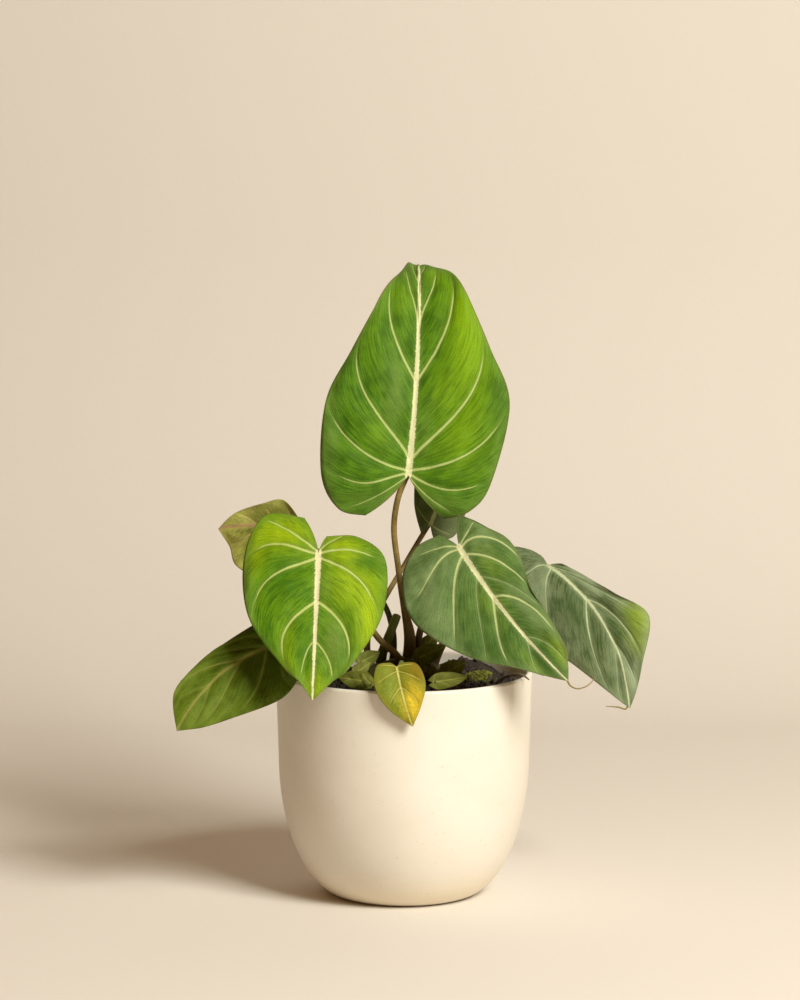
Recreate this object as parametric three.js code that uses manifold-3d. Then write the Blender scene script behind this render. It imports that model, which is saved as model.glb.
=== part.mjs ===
// A potted velvet-leaved philodendron (gloriosum form): heart-shaped blades on long petioles that
// rise from a creeping rhizome in potting mix, in a round-bellied glazed ceramic pot.
// Units are millimetres, +Z is up, and the origin is the centre of the pot's foot.
import * as THREE from 'three';
import { mergeVertices } from 'three/addons/utils/BufferGeometryUtils.js';
import Module from 'manifold-3d';

const wasm = await Module();
wasm.setup();

// Driving dimensions of the pot.
const POT_HEIGHT = 158.5;
const RIM_RADIUS = 90.2;
const SHOULDER_HEIGHT = 98;
const SHOULDER_RADIUS = 88.4;
const FOOT_RADIUS = 46;
const POT_WALL = 4;
const POT_FLOOR = 6;
const POT_SIDES = 40;
const POT_FOOT_EDGE = 1;
const POT_FOOT_LEVELS = [0, 1.5, 5];
const POT_LEVELS = [11, 20, 32, 46, 62, 80, SHOULDER_HEIGHT, 128];
const BELLY_EXPONENT = 1.8;

// Driving dimensions of the filling. Its rings of points lie at these radii inside its edge.
const MIX_LEVEL = 147;
const MIX_MOUND = 4;
const MIX_CLEARANCE = 0.6;
const MIX_RINGS = [14, 28, 42, 56, 70];
const CLOD_HEIGHTS = [0.9, 0.8];
const MOSS = { at: [54, 12], radius: 11, height: 5, tufts: 22, size: 2.6 };

// What touches keeps this gap, and a petiole keeps SEAT_GAP to its blade.
const GAP = 0.3;
const SEAT_GAP = 0.4;
const WELD_DISTANCE = 1e-3;

// Driving dimensions of the blades. A petiole is seated this far along the midrib, and turns
// square to the blade over JUNCTION_BEND.
const BLADE_THICKNESS = 0.8;
const LEAFLET_THICKNESS = 0.7;
const JUNCTION_SEAT = 3;
const JUNCTION_BEND = 7;
const RIB_BOW = 0.12;
const FOLD_ROUNDING = 4;
const BLADE_GRID = { stations: 3, bands: 5 };
const LEAFLET_GRID = { stations: 2, bands: 2 };

// Facets of the round stalks: sides round them and steps along them.
const STALK_FACETS = { sides: 8, steps: 10 };
const STUB_FACETS = { sides: 8, steps: 8 };
const RHIZOME_FACETS = { sides: 10, steps: 12 };
const LEAFLET_FACETS = { sides: 6, steps: 3 };

// The plane that the blades are laid out on leans back from upright by this angle.
const LEAN = THREE.MathUtils.degToRad(6.82);
const ACROSS = new THREE.Vector3(1, 0, 0);
const UPWARD = new THREE.Vector3(0, Math.sin(LEAN), Math.cos(LEAN));
const OUTWARD = new THREE.Vector3(0, -Math.cos(LEAN), Math.sin(LEAN));

// Each large leaf. at: petiole junction. aim: direction of the tip, in degrees up from +X.
// ribs, from the back of the lobes to the tip: distance of the rib's root along the midrib, then
// where it meets the margin on the blade's left (x, y) and on its right (x, y), x towards the tip.
// lean, tilt: slope of the blade along and across. fold: rise of the halves from the midrib.
// inverted: the lower face shows, and the petiole meets it. sway: bow of the midrib to the left.
// cup, sag, lobe: how far the sides, the tip and the lobes bend outward (+) or back (-).
// wave: height, number and phase of the margin's waves. roll: where the tip rolls back, and radius.
const LEAVES = {
  tall: {
    at: [3, 0, 296], aim: 87.6, sway: -3, lean: -0.12, tilt: 0.04, fold: 0.3, cup: -17, sag: -14,
    lobe: -6, wave: [1.6, 3.5, 0.6], roll: [116, 45],
    ribs: [[0, -29, 29, -29, -26], [0, -25, 48, -23, -44], [2, -1, 61, -3, -58],
      [4, 50, 60, 53, -69], [12, 86, 44, 92, -54], [58, 125, 25, 130, -36],
      [110, 150, 12, 154, -22], [148, 170, 6, 171, -9], [180, 180, 0, 180, 0]],
  },
  lime: {
    at: [-58.5, -58, 250], aim: -92, sway: 0, lean: 0.4, tilt: 0, fold: 0.22, cup: -14, sag: -8,
    lobe: -8, wave: [1.6, 3, 1.5], roll: [95, 30],
    ribs: [[0, -11, 5, -23, -11], [0, -11, 27, -24, -38], [0, 4, 46, 5, -51],
      [3, 42, 45, 45, -46], [35, 76, 25, 78, -21], [60, 87, 13, 88, -9], [100, 100, 0, 100, 0]],
  },
  centre_right: {
    at: [38, -34, 250.5], aim: -51, sway: -4, lean: 0.42, tilt: -0.05, fold: 0.3, cup: -13, sag: -8,
    lobe: -7, wave: [2, 3, 0.4], roll: [200, 40],
    ribs: [[0, -18, 14, -15, -6], [0, -1, 22, -18, -25], [2, 27, 29, -5, -47],
      [6, 53, 20, 23, -57], [14, 73, 18, 61, -43], [41, 95, 14, 88, -22], [72, 107, 8, 103, -10],
      [117, 117, 0, 117, 0]],
  },
  far_right: {
    at: [102.5, 36, 228], aim: -60.7, sway: 14, lean: 0.3, tilt: 0.12, fold: 0.25, cup: -9, sag: -7,
    lobe: -5, wave: [1.6, 3, 2], roll: [200, 40],
    ribs: [[0, 4, 9, -9, -1], [0, 14, 16, -24, -18], [18, 40, 31, 1, -35],
      [42, 65, 44, 37, -35], [66, 92, 23, 68, -20], [88, 107, 10, 101, -6], [115, 115, 0, 115, 0]],
  },
  lower_left: {
    at: [-80, -46, 187], aim: -141, sway: -11, lean: 0.3, tilt: 0.3, fold: 0.15, cup: -7, sag: -6,
    lobe: -3, wave: [1.6, 3, 0], roll: [200, 40],
    ribs: [[0, -4, 17, -12, -15], [0, 11, 25, 5, -22], [8, 30, 28, 34, -26],
      [21, 63, 17, 57, -27], [40, 82, 9, 83, -21], [97, 97, 0, 97, 0]],
  },
  upper_left: {
    inverted: true, at: [-77, 30, 241], aim: 166, sway: -9, lean: 0.1, tilt: -0.5, fold: -0.15,
    cup: 4, sag: 3, lobe: 0, wave: [1.8, 2.5, 0], roll: [200, 40],
    ribs: [[0, -11, 17, 1, -20], [0, 11, 28, 16, -31], [12, 37, 23, 30, -25],
      [28, 46, 10, 47, -14], [56, 56, 0, 56, 0]],
  },
  back: {
    at: [19, 38, 257], aim: 62, sway: 2, lean: -0.25, tilt: 0.1, fold: 0.2, cup: -6, sag: -6,
    lobe: -2, wave: [1, 2, 0], roll: [200, 40],
    ribs: [[0, -9, 3, -9, -8], [0, 9, 18, 1, -19], [10, 36, 28, 24, -18],
      [30, 61, 18, 54, -15], [71, 71, 0, 71, 0]],
  },
  small_front: {
    at: [-5, -90.5, 176], aim: -75, sway: -1, lean: 0.1, tilt: 0, fold: 0.35, cup: -4, sag: -2,
    lobe: -1, wave: [0.4, 2, 0], roll: [200, 40],
    ribs: [[0, -2, 4, -4, -4], [0, 2, 14, -4, -13], [3, 16, 16, 9, -18],
      [14, 30, 9, 26, -13], [42, 42, 0, 42, 0]],
  },
};

// The creeping rhizome, as [x, y, z, radius] points.
const RHIZOME = [[-34, -14, 147, 5], [-22, -8, 153, 8], [-6, -3, 158, 10], [10, 2, 158, 10],
  [24, 8, 152, 8], [34, 12, 145, 5]];

// Petioles from the rhizome up, as [x, y, z, radius] points. The last stretch of each, where it
// meets its blade, is worked out from the blade.
const PETIOLES = {
  tall: [[3, 0, 163, 4.5], [4, 0, 183, 4], [0, 3, 203, 2.4], [-4, 7, 230, 2.1], [-7, 9, 258, 2.1],
    [-4, 7, 280, 2.1]],
  lime: [[-1, -8, 162, 3], [-6, -13, 172, 2.6], [-20, -26, 188, 2.2], [-42, -44, 226, 2]],
  centre_right: [[10, 6, 162, 3], [10.5, 4, 182, 2.6], [19, -6, 212, 2.1], [30, -22, 236, 2]],
  far_right: [[20, 8, 158, 3.2], [30, 16, 178, 2.6], [56, 39, 204, 2.1], [84, 50, 220, 2]],
  lower_left: [[-22, -14, 154, 3], [-30, -20, 170, 2.4], [-50, -30, 187, 2], [-67, -38, 190, 1.9]],
  upper_left: [[-8, 9, 162, 2.6], [-8, 9, 186, 2.2], [-18, 11, 210, 1.9], [-46, 23, 236, 1.8]],
  back: [[-24, 2, 156, 3], [-26, 8, 178, 2.4], [-19, 16, 197, 2], [0, 37, 227.5, 1.9]],
  small_front: [[2, -24, 148, 1.6], [0, -42, 166, 1.4], [-2, -66, 175, 1.3]],
};

// A cut petiole, and a dried root that hooks over the rim.
const CUT_STUBS = {
  stub_front: [[-17, -1, 158, 3.6], [-15, -1, 171, 3.5], [-10, -1, 184, 3.2], [-5, -1, 197, 3]],
  dry_root: [[56, -20, 145, 1.2], [68, -28, 157, 1.1], [76, -34, 161, 1], [82, -38.5, 161.5, 0.9],
    [86.5, -40.5, 158.5, 0.5]],
};

// Small leaves of the side shoots: junction, direction, length and half width, lean, and where the
// stalk leaves the potting mix.
const SMALL_LEAVES = {
  left_high: { at: [-31, -28, 168], aim: 28, size: [16, 6], lean: -0.4, foot: [-27, -22, 150] },
  left_middle: { at: [-34, -42, 163], aim: 35, size: [13, 5], lean: -0.3, foot: [-28, -36, 150] },
  left_low: { at: [-24, -58, 160], aim: 172, size: [22, 7], lean: -0.2, foot: [-22, -48, 149] },
  left_lip: { at: [-22, -66, 158.5], aim: 128, size: [11, 4], lean: 0.1, foot: [-19, -60, 149] },
  right_high: { at: [9, -14, 169], aim: 22, size: [22, 7], lean: -0.2, foot: [11, -20, 150] },
  right_back: { at: [14, 10, 172], aim: 48, size: [14, 6], lean: -0.2, foot: [18, 14, 152] },
  right_round: { at: [27, -40, 162], aim: 28, size: [18, 7], lean: -0.3, foot: [24, -36, 150] },
  right_low: { at: [20, -62, 160.5], aim: 8, size: [24, 6], lean: -0.1, foot: [18, -56, 149] },
};

// What the small leaves share: the blade's form, and the stalk, which runs on past the junction.
const LEAFLET_FORM = {
  sway: 0, tilt: 0, fold: 0.3, cup: -1.5, sag: -2, lobe: -0.5, wave: [0.3, 2, 0],
};
const LEAFLET_ROLL = 10;
const LEAFLET_STALK = { radii: [1.1, 1, 0.9], bow: 1, past: 1.4, sink: 0.5 };

// Height of a smooth curve through the values p at s.
const catmullRom = (p, s) => {
  const i = Math.min(Math.floor(s), p.length - 2);
  const u = s - i;
  const [a, b, c, d] = [p[Math.max(i - 1, 0)], p[i], p[i + 1], p[Math.min(i + 2, p.length - 1)]];
  const v0 = (c - a) / 2;
  const v1 = (d - b) / 2;
  return (2 * b - 2 * c + v0 + v1) * u ** 3 + (-3 * b + 3 * c - 2 * v0 - v1) * u ** 2 + v0 * u + b;
};

// A point of the blade: side is 1 (left) or -1, s counts ribs from the lobe, t runs to the margin.
function bladePoint(leaf, side, s, t) {
  const { ribs, sway, lean, tilt, fold, cup, sag, lobe, wave, roll } = leaf;
  const last = ribs.length - 1;
  const length = ribs[last][0];
  const midrib = (along) => sway * 4 * (along / length) * (1 - along / length);
  const i = Math.min(Math.floor(s), last - 1);
  const root = THREE.MathUtils.lerp(ribs[i][0], ribs[i + 1][0], s - i);
  const column = side > 0 ? 1 : 3;
  const endX = catmullRom(ribs.map((rib) => rib[column]), s);
  const endY = catmullRom(ribs.map((rib) => rib[column + 1]), s);
  const rootY = midrib(root);
  const [dx, dy] = [endX - root, endY - rootY];
  const bowX = (root + endX) / 2 - side * RIB_BOW * dy;
  const bowY = (rootY + endY) / 2 + side * RIB_BOW * dx;
  const quad = (a, b, c) => (1 - t) ** 2 * a + 2 * t * (1 - t) * b + t * t * c;
  const x = quad(root, bowX, endX);
  const y = quad(rootY, bowY, endY);
  const width = Math.max(...ribs.map((rib) => Math.abs(rib[column + 1])));
  const reach = Math.max(...ribs.map((rib) => -rib[column]), 1);
  const bent = Math.min(x, roll[0]);
  const spine = lean * bent + (bent > 0 ? sag * (bent / length) ** 2 : lobe * (bent / reach) ** 2);
  const off = y - midrib(THREE.MathUtils.clamp(x, 0, length));
  let section = tilt * y + fold * (Math.hypot(off, FOLD_ROUNDING) - FOLD_ROUNDING);
  section += cup * (off / width) ** 2;
  // The waves die away along the last rib, so that both halves meet in one tip.
  const height = wave[0] * Math.min(last - s, 1) * t ** 3;
  section += height * Math.sin((2 * Math.PI * wave[1] * s) / last + wave[2] * side);
  if (x <= roll[0]) return [x, y, spine + section];
  const [start, radius] = roll;
  const entry = -Math.atan(lean + (2 * sag * start) / length ** 2);
  const turn = (x - start) / radius;
  const ahead = start + radius * (Math.sin(entry + turn) - Math.sin(entry));
  const drop = radius * (Math.cos(entry) - Math.cos(entry + turn));
  return [ahead + section * Math.sin(turn), y, spine - drop + section * Math.cos(turn)];
}

// The directions of a blade's tip and of its left side.
function layout({ aim }) {
  const turn = THREE.MathUtils.degToRad(aim);
  return {
    tipward: ACROSS.clone().multiplyScalar(Math.cos(turn)).addScaledVector(UPWARD, Math.sin(turn)),
    leftward: ACROSS.clone().multiplyScalar(-Math.sin(turn)).addScaledVector(UPWARD, Math.cos(turn)),
  };
}

// Where a point of the blade, as [towards the tip, to the left, rise], lies in the part's frame.
function place(leaf, [x, y, rise]) {
  const { tipward, leftward } = layout(leaf);
  const point = new THREE.Vector3(...leaf.at).addScaledVector(tipward, x);
  return point.addScaledVector(leftward, y).addScaledVector(OUTWARD, rise);
}

// The blade as a sheet without thickness, laid out from its junction. Each cell of its grid is cut
// along its shorter diagonal, which keeps the facets even where the blade bends.
function bladeSheet(leaf, { stations, bands } = BLADE_GRID) {
  const rows = (leaf.ribs.length - 1) * stations;
  const points = [];
  const index = [];
  for (const side of [1, -1]) {
    const start = points.length;
    for (let i = 0; i <= rows; i++) {
      for (let j = 0; j <= bands; j++) {
        points.push(place(leaf, bladePoint(leaf, side, i / stations, j / bands)));
      }
    }
    for (let i = 0; i < rows; i++) {
      for (let j = 0; j < bands; j++) {
        const a = start + i * (bands + 1) + j;
        const b = a + bands + 1;
        const alongFirst = points[a].distanceTo(points[b + 1]) < points[b].distanceTo(points[a + 1]);
        const faces = alongFirst ? [a, b, b + 1, a, b + 1, a + 1] : [a, b, a + 1, b, b + 1, a + 1];
        index.push(...(side > 0 ? faces : faces.reverse()));
      }
    }
  }
  return weld(points.flatMap((point) => point.toArray()), index);
}

// A geometry whose shared vertices are merged and whose collapsed triangles are dropped.
function weld(positions, index) {
  const loose = new THREE.BufferGeometry();
  loose.setAttribute('position', new THREE.Float32BufferAttribute(positions, 3));
  loose.setIndex(index);
  const merged = mergeVertices(loose, WELD_DISTANCE);
  const kept = [];
  const old = merged.index.array;
  for (let i = 0; i < old.length; i += 3) {
    const [a, b, c] = [old[i], old[i + 1], old[i + 2]];
    if (a !== b && b !== c && c !== a) kept.push(a, b, c);
  }
  merged.setIndex(kept);
  return merged;
}

function weldGeometry(geometry) {
  const { position } = geometry.attributes;
  const index = geometry.index?.array ?? Array.from({ length: position.count }, (_, i) => i);
  return weld([...position.array], [...index]);
}

// A sheet given its thickness: the same triangles on both faces, joined round the free edge.
function thicken(sheet, thickness) {
  sheet.computeVertexNormals();
  const upper = sheet.attributes.position;
  const normal = sheet.attributes.normal;
  const count = upper.count;
  const positions = [...upper.array];
  for (let i = 0; i < count; i++) {
    const back = new THREE.Vector3().fromBufferAttribute(normal, i).multiplyScalar(-thickness);
    positions.push(...back.add(new THREE.Vector3().fromBufferAttribute(upper, i)).toArray());
  }
  const faces = [...sheet.index.array];
  const index = [...faces];
  const edges = new Set();
  for (let i = 0; i < faces.length; i += 3) {
    const [a, b, c] = faces.slice(i, i + 3);
    index.push(count + c, count + b, count + a);
    for (const [from, to] of [[a, b], [b, c], [c, a]]) edges.add(`${from}_${to}`);
  }
  for (const edge of edges) {
    const [from, to] = edge.split('_').map(Number);
    if (!edges.has(`${to}_${from}`)) {
      index.push(from, count + from, count + to, from, count + to, to);
    }
  }
  return weld(positions, index);
}

// A round stalk along points [x, y, z, radius], closed at both ends. grow widens and lengthens it.
function stalk(points, { sides, steps } = STALK_FACETS, grow = 0) {
  const path = new THREE.CatmullRomCurve3(points.map(([x, y, z]) => new THREE.Vector3(x, y, z)));
  const frames = path.computeFrenetFrames(steps);
  const radii = points.map((point) => point[3]);
  const positions = [];
  const index = [];
  for (let i = 0; i <= steps; i++) {
    const u = i / steps;
    const t = path.getUtoTmapping(u);
    const radius = catmullRom(radii, t * (radii.length - 1)) + grow;
    const centre = path.getPointAt(u);
    if (i === 0) centre.addScaledVector(frames.tangents[0], -grow);
    if (i === steps) centre.addScaledVector(frames.tangents[steps], grow);
    for (let j = 0; j < sides; j++) {
      const angle = (2 * Math.PI * j) / sides;
      const p = centre.clone().addScaledVector(frames.normals[i], radius * Math.cos(angle));
      p.addScaledVector(frames.binormals[i], radius * Math.sin(angle));
      positions.push(p.x, p.y, p.z);
      if (i < steps) {
        const [a, b] = [i * sides + j, i * sides + ((j + 1) % sides)];
        index.push(a, b, b + sides, a, b + sides, a + sides);
      }
    }
  }
  for (let j = 1; j < sides - 1; j++) {
    index.push(0, j + 1, j);
    const top = steps * sides;
    index.push(top, top + j, top + j + 1);
  }
  return weld(positions, index);
}

function toSolid(geometry) {
  const mesh = new wasm.Mesh({
    numProp: 3,
    vertProperties: new Float32Array(geometry.attributes.position.array),
    triVerts: new Uint32Array(geometry.index.array),
  });
  return new wasm.Manifold(mesh);
}

function fromSolid(solid) {
  const mesh = solid.getMesh();
  return weld([...mesh.vertProperties], [...mesh.triVerts]);
}

// A piece with cutters taken out of it. Where a cutter parts it, its largest body stays.
function carve(geometry, cutters) {
  const cut = cutters.reduce((solid, cutter) => solid.subtract(toSolid(cutter)), toSolid(geometry));
  return fromSolid(cut.decompose().sort((a, b) => b.volume() - a.volume())[0]);
}

const fuse = (geometries) => fromSolid(geometries.map(toSolid).reduce((a, b) => a.add(b)));

// The pot's outer radius: a rounded belly up to the shoulder, then a nearly straight wall.
function outerRadius(z) {
  if (z >= SHOULDER_HEIGHT) {
    const up = (z - SHOULDER_HEIGHT) / (POT_HEIGHT - SHOULDER_HEIGHT);
    return THREE.MathUtils.lerp(SHOULDER_RADIUS, RIM_RADIUS, up);
  }
  const down = (SHOULDER_HEIGHT - z) / SHOULDER_HEIGHT;
  return FOOT_RADIUS + (SHOULDER_RADIUS - FOOT_RADIUS) * (1 - down ** 2) ** (1 / BELLY_EXPONENT);
}

function makePot() {
  const lip = POT_WALL / 2;
  const outer = [...POT_FOOT_LEVELS, ...POT_LEVELS, POT_HEIGHT - lip];
  const profile = [[0, 0], ...outer.map((z) => [outerRadius(z) - (z === 0 ? POT_FOOT_EDGE : 0), z])];
  for (const angle of [45, 90, 135]) {
    const turn = THREE.MathUtils.degToRad(angle);
    profile.push([RIM_RADIUS - lip + lip * Math.cos(turn), POT_HEIGHT - lip + lip * Math.sin(turn)]);
  }
  const inner = [...POT_LEVELS, POT_HEIGHT - lip].reverse();
  profile.push(...inner.map((z) => [outerRadius(z) - POT_WALL, z]));
  profile.push([outerRadius(POT_FLOOR) - POT_WALL, POT_FLOOR], [0, POT_FLOOR]);
  return lathe(profile, POT_SIDES);
}

// A solid of revolution about the Z axis from an outline of [radius, height] points.
function lathe(outline, sides) {
  const points = outline.map(([radius, z]) => new THREE.Vector2(radius, z));
  const geometry = new THREE.LatheGeometry(points, sides).rotateX(Math.PI / 2);
  return weldGeometry(geometry);
}

// Height of the potting mix: a low mound with clods made of a few crossing waves.
function mixHeight(x, y) {
  const mound = MIX_MOUND * (1 - (x * x + y * y) / RIM_RADIUS ** 2);
  const broad = CLOD_HEIGHTS[0] * Math.sin(x / 5 + 2 * Math.sin(y / 11));
  const narrow = CLOD_HEIGHTS[1] * Math.sin(y / 4.3 + x / 9);
  return MIX_LEVEL + mound + broad + narrow;
}

function makeMix() {
  const sides = POT_SIDES;
  const side = (z) => outerRadius(z) - POT_WALL - MIX_CLEARANCE;
  const rings = [...MIX_RINGS, side(MIX_LEVEL)].map((radius) => [radius, null]);
  rings.push(...POT_LEVELS.toReversed().map((z) => [side(z), z]));
  rings.push([side(POT_FLOOR) - GAP, POT_FLOOR + GAP]);
  const positions = [0, 0, mixHeight(0, 0)];
  const index = [];
  rings.forEach(([radius, z], i) => {
    for (let j = 0; j < sides; j++) {
      const angle = (2 * Math.PI * j) / sides;
      const [x, y] = [radius * Math.cos(angle), radius * Math.sin(angle)];
      positions.push(x, y, z ?? mixHeight(x, y));
      const next = (j + 1) % sides;
      const [a, b] = [1 + i * sides + j, 1 + i * sides + next];
      if (i === 0) index.push(0, a, b);
      else index.push(a - sides, a, b, a - sides, b, b - sides);
    }
  });
  const bottom = positions.length / 3;
  positions.push(0, 0, POT_FLOOR + GAP);
  for (let j = 0; j < sides; j++) {
    const last = 1 + (rings.length - 1) * sides;
    index.push(bottom, last + ((j + 1) % sides), last + j);
  }
  return weld(positions, index);
}

// Where the ribs of a small heart-shaped leaf start and end, for its length and half width.
const smallRibs = ([length, width]) => [[0, -0.15, 0.3], [0, 0.12, 0.95], [0.25, 0.55, 0.85],
  [0.6, 0.85, 0.4], [1, 1, 0]].map(([root, x, y]) => (
  [root * length, x * length, y * width, x * length, -y * width]));

const green = (color) => ({ color, roughness: 0.6, metalness: 0 });
const COLOURS = {
  pot: { color: 0xf3e4cc, roughness: 0.35, metalness: 0 },
  mix: { color: 0x4a3a28, roughness: 0.95, metalness: 0 },
  rhizome: { color: 0x5a6b2c, roughness: 0.7, metalness: 0 },
  petiole: { color: 0x6f5a3a, roughness: 0.6, metalness: 0 },
  stub: { color: 0x86a03c, roughness: 0.6, metalness: 0 },
  blade_tall: green(0x5c8a2a),
  blade_lime: green(0x9aa82e),
  blade_centre_right: green(0x6f8f50),
  blade_far_right: green(0x4f6a40),
  blade_lower_left: green(0x3c4420),
  blade_upper_left: green(0x7d7d32),
  blade_back: green(0x3f5a30),
  blade_small_front: green(0xa8a030),
  leaflet: green(0x4d5f24),
  moss: { color: 0x6f7a2c, roughness: 0.95, metalness: 0 },
  dry_root: { color: 0x8d7f6a, roughness: 0.9, metalness: 0 },
};

const plant = new THREE.Group();

function addPiece(name, geometry, finish) {
  const mesh = new THREE.Mesh(geometry, new THREE.MeshStandardMaterial(finish));
  mesh.name = name;
  plant.add(mesh);
}

addPiece('pot', makePot(), COLOURS.pot);

// A cushion of moss: tufts in a sunflower spiral over a low dome, cut clear of the potting mix.
function makeMoss(mix) {
  const [cx, cy] = MOSS.at;
  const core = new THREE.SphereGeometry(MOSS.radius, 12, 6).rotateX(Math.PI / 2);
  core.scale(1, 1, MOSS.height / MOSS.radius).translate(cx, cy, mixHeight(cx, cy));
  const tufts = [weldGeometry(core)];
  const goldenAngle = Math.PI * (3 - Math.sqrt(5));
  for (let i = 0; i < MOSS.tufts; i++) {
    const reach = MOSS.radius * Math.sqrt(i / MOSS.tufts);
    const turn = i * goldenAngle;
    const size = MOSS.size * (1 + 0.2 * Math.sin(5 * i));
    const tuft = new THREE.IcosahedronGeometry(size, 0).rotateZ(i).rotateX(i * 0.7);
    const dome = MOSS.height * Math.sqrt(1 - i / MOSS.tufts);
    tuft.translate(cx + reach * Math.cos(turn), cy + reach * Math.sin(turn), mixHeight(cx, cy) + dome);
    tufts.push(weldGeometry(tuft));
  }
  return carve(fuse(tufts), [mix.clone().translate(0, 0, GAP)]);
}

// A small leaf's stalk runs from its foot in the potting mix to the back of its junction.
const smallStalks = {};
for (const [name, { at, aim, foot }] of Object.entries(SMALL_LEAVES)) {
  const [x, y, z] = at;
  const turn = THREE.MathUtils.degToRad(aim);
  const { radii, bow, past, sink } = LEAFLET_STALK;
  const middle = [(x + foot[0]) / 2, (y + foot[1]) / 2 + bow, (z + foot[2]) / 2];
  const top = [x + past * Math.cos(turn), y + sink, z + past * Math.sin(turn)];
  smallStalks[name] = [foot, middle, top].map((point, i) => [...point, radii[i]]);
}

// A petiole's whole route bends square to the blade and ends just short of its lower face.
const petioleRoutes = {};
for (const [name, leaf] of Object.entries(LEAVES)) {
  const { tipward, leftward } = layout(leaf);
  const normal = OUTWARD.clone().addScaledVector(tipward, -leaf.lean);
  normal.addScaledVector(leftward, -leaf.tilt).normalize();
  const next = leaf.ribs.findIndex((rib) => rib[0] > JUNCTION_SEAT);
  const [from, to] = [leaf.ribs[next - 1][0], leaf.ribs[next][0]];
  const onMidrib = bladePoint(leaf, 1, next - 1 + (JUNCTION_SEAT - from) / (to - from), 0);
  const seat = place(leaf, onMidrib);
  const away = leaf.inverted ? 1 : -1;
  const face = leaf.inverted ? SEAT_GAP : BLADE_THICKNESS + SEAT_GAP;
  const radius = PETIOLES[name].at(-1)[3];
  const ends = [JUNCTION_BEND, JUNCTION_BEND / 2, face].map((distance) => (
    [...seat.clone().addScaledVector(normal, away * distance).toArray(), radius]));
  petioleRoutes[name] = [...PETIOLES[name], ...ends];
}

const stalks = [...Object.values(petioleRoutes), ...Object.values(CUT_STUBS)];
const sockets = stalks.map((points) => stalk(points, STALK_FACETS, GAP));
sockets.push(...Object.values(smallStalks).map((points) => stalk(points, LEAFLET_FACETS, GAP)));
addPiece('rhizome', carve(stalk(RHIZOME, RHIZOME_FACETS), sockets), COLOURS.rhizome);
const wholeMix = makeMix();
const bed = stalk(RHIZOME, RHIZOME_FACETS, GAP);
addPiece('potting_mix', carve(wholeMix, [bed, ...sockets]), COLOURS.mix);
addPiece('moss', makeMoss(wholeMix), COLOURS.moss);

for (const [name, leaf] of Object.entries(LEAVES)) {
  addPiece(`petiole_${name}`, stalk(petioleRoutes[name]), COLOURS.petiole);
  addPiece(`blade_${name}`, thicken(bladeSheet(leaf), BLADE_THICKNESS), COLOURS[`blade_${name}`]);
}
for (const [name, points] of Object.entries(CUT_STUBS)) {
  addPiece(name, stalk(points, STUB_FACETS), COLOURS[name] ?? COLOURS.stub);
}
for (const [name, points] of Object.entries(smallStalks)) {
  const { at, aim, size, lean } = SMALL_LEAVES[name];
  const leaf = {
    ...LEAFLET_FORM, at, aim, lean, roll: [size[0], LEAFLET_ROLL], ribs: smallRibs(size),
  };
  const blade = thicken(bladeSheet(leaf, LEAFLET_GRID), LEAFLET_THICKNESS);
  addPiece(`leaflet_${name}`, fuse([blade, stalk(points, LEAFLET_FACETS)]), COLOURS.leaflet);
}

export default plant;
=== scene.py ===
"""A potted philodendron gloriosum: velvet heart-shaped leaves with pale veins on long petioles,
which rise from a creeping rhizome in potting mix, in a cream glazed pot.

Plant sizes are in millimetres, as they are measured on the plant, and become metres when a mesh is
made. The origin is the centre of the pot's foot, +Z is up and -Y faces the viewer.
"""

import bpy
import numpy as np
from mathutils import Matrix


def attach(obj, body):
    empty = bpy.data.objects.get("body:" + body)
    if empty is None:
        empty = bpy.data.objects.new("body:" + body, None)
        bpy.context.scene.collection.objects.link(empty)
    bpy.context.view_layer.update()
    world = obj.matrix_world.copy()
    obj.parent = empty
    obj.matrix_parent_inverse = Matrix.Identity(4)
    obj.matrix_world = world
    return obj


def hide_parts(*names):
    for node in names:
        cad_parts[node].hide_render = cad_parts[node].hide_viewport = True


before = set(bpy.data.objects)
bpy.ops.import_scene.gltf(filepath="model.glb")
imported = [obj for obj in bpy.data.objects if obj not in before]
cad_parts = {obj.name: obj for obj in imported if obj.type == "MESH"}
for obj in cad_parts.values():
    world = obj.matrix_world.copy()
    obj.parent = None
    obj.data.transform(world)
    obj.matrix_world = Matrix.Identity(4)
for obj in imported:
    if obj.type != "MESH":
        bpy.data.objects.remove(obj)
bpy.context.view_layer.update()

MM = 0.001

# The camera stands in front of the pot and looks down on it a little.
CAMERA_AT = (-2.8, -2400, 566)
CAMERA_PITCH = np.radians(6.82)
CAMERA_LENS = 124.34
SENSOR = 36

camera_data = bpy.data.cameras.new("camera")
camera_data.lens = CAMERA_LENS
camera_data.sensor_fit = "VERTICAL"
camera_data.sensor_height = SENSOR
camera = bpy.data.objects.new("camera", camera_data)
camera.location = [MM * value for value in CAMERA_AT]
camera.rotation_euler = (np.pi / 2 - CAMERA_PITCH, 0, 0)
bpy.context.scene.collection.objects.link(camera)
bpy.context.scene.camera = camera

# The plane that the blades are laid out on leans back from upright by the camera's pitch.
ACROSS = np.array([1.0, 0.0, 0.0])
UPWARD = np.array([0.0, np.sin(CAMERA_PITCH), np.cos(CAMERA_PITCH)])
OUTWARD = np.array([0.0, -np.cos(CAMERA_PITCH), np.sin(CAMERA_PITCH)])

# Driving dimensions of the pot and its filling.
POT_HEIGHT = 158.5
RIM_RADIUS = 90.2
SHOULDER_HEIGHT = 98
SHOULDER_RADIUS = 88.4
FOOT_RADIUS = 46
BELLY_EXPONENT = 1.8
POT_WALL = 4
POT_FLOOR = 6
MIX_LEVEL = 147
MIX_MOUND = 4
MIX_CLEARANCE = 0.6
# The turned profile stops this near its axis.
AXIS_GAP = 0.01

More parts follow.
